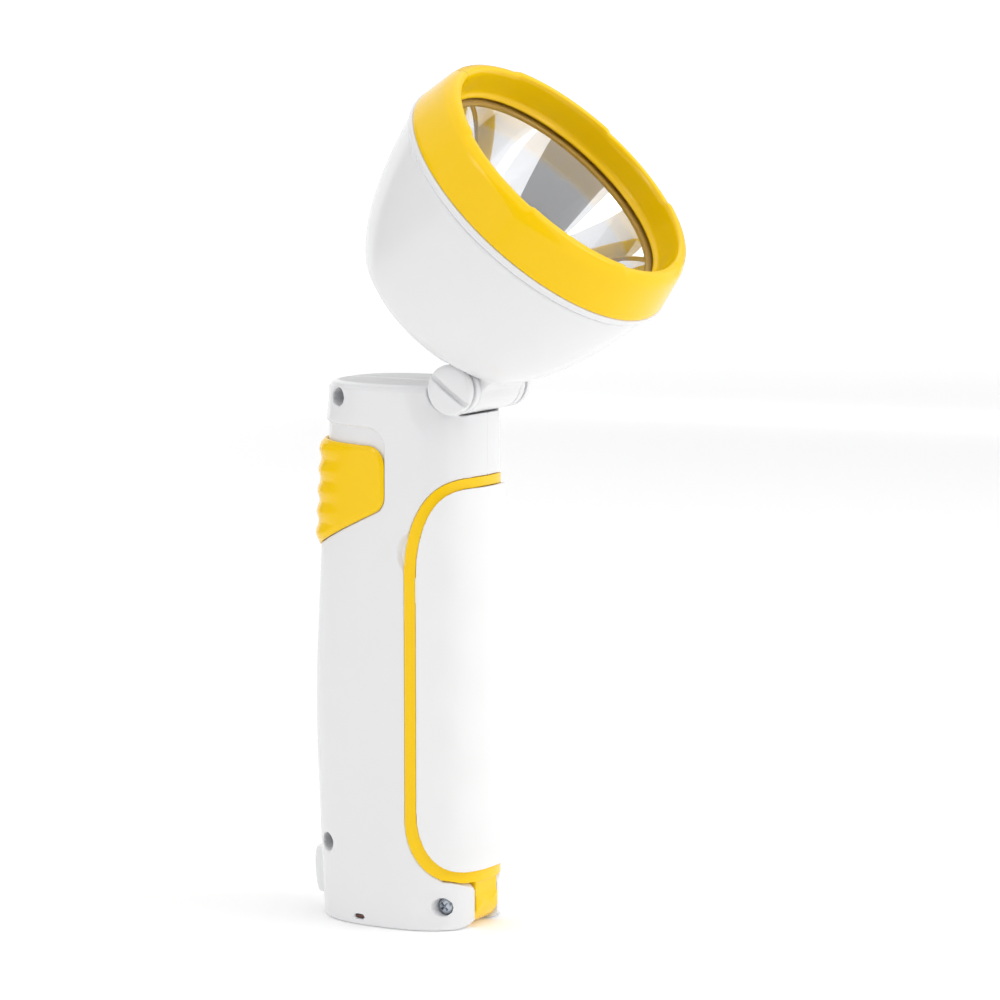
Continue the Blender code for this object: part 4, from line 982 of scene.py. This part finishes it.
def make_panel(looks):
    """The yellow frame has a lip that runs under the edge of the white grip cover."""
    def sweep():
        return rod_x("sweep", PANEL_PIVOT_Y, PANEL_PIVOT_Z, PANEL_SWEEP, -FAR, FAR, 96)

    panel = clipped_shell("panel_trim", panel_outline(PANEL_EDGE, TRIM_GAP), TRIM_PROUD, -PANEL_WALL, 5.0)
    window = solid("window", slab(panel_outline(COVER_EDGE, COVER_INSET), -FAR, FAR))
    carve(window, cut(solid("lip", oval_column(4.0, 138.0, -LIP_DEPTH, 5.0, 120))))
    opening = solid("opening", slab(panel_outline(COVER_EDGE, COVER_INSET + LIP_WIDTH), -FAR, FAR))
    neck = solid("neck", box((-KNUCKLE_HALF, -24.9, 9.0), (KNUCKLE_HALF, -19.5, 16.0)))
    knuckle = rod_x("knuckle", *HINGE_SCREW, KNUCKLE_RADIUS, -KNUCKLE_HALF, KNUCKLE_HALF, 96)
    bore = rod_x("bore", *HINGE_SCREW, SCREW_SHANK_RADIUS + 0.2, -FAR, FAR, 24)
    carve(panel, cut(window), cut(opening), cut(sweep()), join(neck), join(knuckle), cut(bore))
    soften(panel, *SKIN["trim"])
    crisp(snap_to_oval(panel, TRIM_PROUD, reach=0.3), 60)
    finish_piece(panel, "panel", looks["yellow_plastic"], "yellow_plastic", "panel_frame")

    cover = clipped_shell("grip_shell", panel_outline(COVER_EDGE, COVER_INSET + COVER_SEAM), grip_bulge,
                          lambda angle, z: grip_bulge(angle, z) - COVER_WALL, 2.0)
    relief = solid("relief", box((-KNUCKLE_HALF - GAP, -25.3, 9.0), (KNUCKLE_HALF + GAP, -19.0, 16.3)))
    carve(cover, cut(sweep()), cut(relief))
    soften(cover, *SKIN["grip"])
    crisp(snap_to_oval(cover, grip_bulge, reach=0.7), 60)
    finish_piece(cover, "panel", looks["grip_plastic"], "white_plastic", "grip_cover")


# ---------------------------------------------------------------- the switch and the port cover

def switch_offset(angle, z):
    """The cap's height over the oval: prouder at the back, ridged, and bevelled at its edges."""
    back = smooth_step((np.sin(angle) - 0.35) / 0.5)
    phase = (z - LOWEST_RIDGE) / RIDGE_PITCH
    ridged = (phase >= -0.5) & (phase <= RIDGE_COUNT - 0.5)
    ridge = np.where(ridged, 0.5 + 0.5 * np.cos(math.tau * phase), 0.0)
    full = SWITCH_PROUD + back * (SWITCH_BACK_PROUD + RIDGE_HEIGHT * ridge)
    spots = oval_points(angle, z, 0.0)
    inside = inside_distance(switch_outline(0.0), spots[:, 1], z)
    return full - SWITCH_PROUD * np.clip(1.0 - inside / SWITCH_BEVEL, 0.0, 1.0)


def make_switch(looks):
    cap = solid("switch_thumb", oval_column(100.0, 148.0, switch_offset, 0.5, 260))
    inside = solid("inside", oval_column(95.0, 152.0, -RECESS_DEPTH + 0.25, 3.0, 120))
    stem = solid("stem", box((-STEM_HALF, 21.2, STEM_FOOT), (STEM_HALF, 25.0, STEM_TOP)))
    carve(cap, cut(inside), keep(solid("outline", slab(switch_outline(0.0), -FAR, FAR))), join(stem))
    soften(cap, *SKIN["switch"])
    finish_piece(cap, "switch", looks["yellow_plastic"], "yellow_plastic", "switch_cap")


def make_port_cover(looks):
    """A bump that fades into the back of the foot towards its edges."""
    foot, top = PORT_COVER_FOOT, PORT_COVER_TOP
    outline = ((float(back_y(foot)) - 6.0, foot), (40.0, foot + 4.0), (40.0, top - 3.0),
               (float(back_y(top)) - 6.0, top))

    def bump_out(angle, z):
        spots = oval_points(angle, z, 0.0)
        up = np.clip(np.abs(z - (foot + top) / 2) / ((top - foot) / 2), 0.0, 1.0)
        across = np.clip(np.abs(spots[:, 0]) / PORT_COVER_HALF, 0.0, 1.0)
        rise = PORT_COVER_PROUD - PORT_COVER_EDGE
        return PORT_COVER_EDGE + rise * np.sqrt((1 - up ** 3) * (1 - across ** 4))

    cover = solid("port_lid", oval_column(2.0, 24.0, bump_out, 0.5, 400))
    carve(cover, cut(solid("inside", oval_column(0.5, 26.0, 0.15, 1.5, 160))),
          keep(solid("wedge", slab(outline, -PORT_COVER_HALF, PORT_COVER_HALF))))
    soften(cover, *SKIN["port"])
    finish_piece(cover, "port_flap", looks["white_plastic"], "white_plastic", "port_cover")


# ---------------------------------------------------------------- everything

def dress_cad_nodes(looks):
    """The pieces inside keep their CAD shape and get their real material."""
    for entry in frame["record"]["subparts"]:
        node = frame["nodes"][entry["node"]]
        node.data.materials.clear()
        node.data.materials.append(looks[entry["material_slot"]])


def main():
    bpy.context.scene.view_settings.view_transform = "Standard"
    add_camera()
    add_stage()
    looks = make_materials()
    dress_cad_nodes(looks)
    for make in (make_bowl, make_bezel, make_optics, make_housings, make_screws, make_caps, make_panel,
                 make_switch, make_port_cover):
        make(looks)


main()
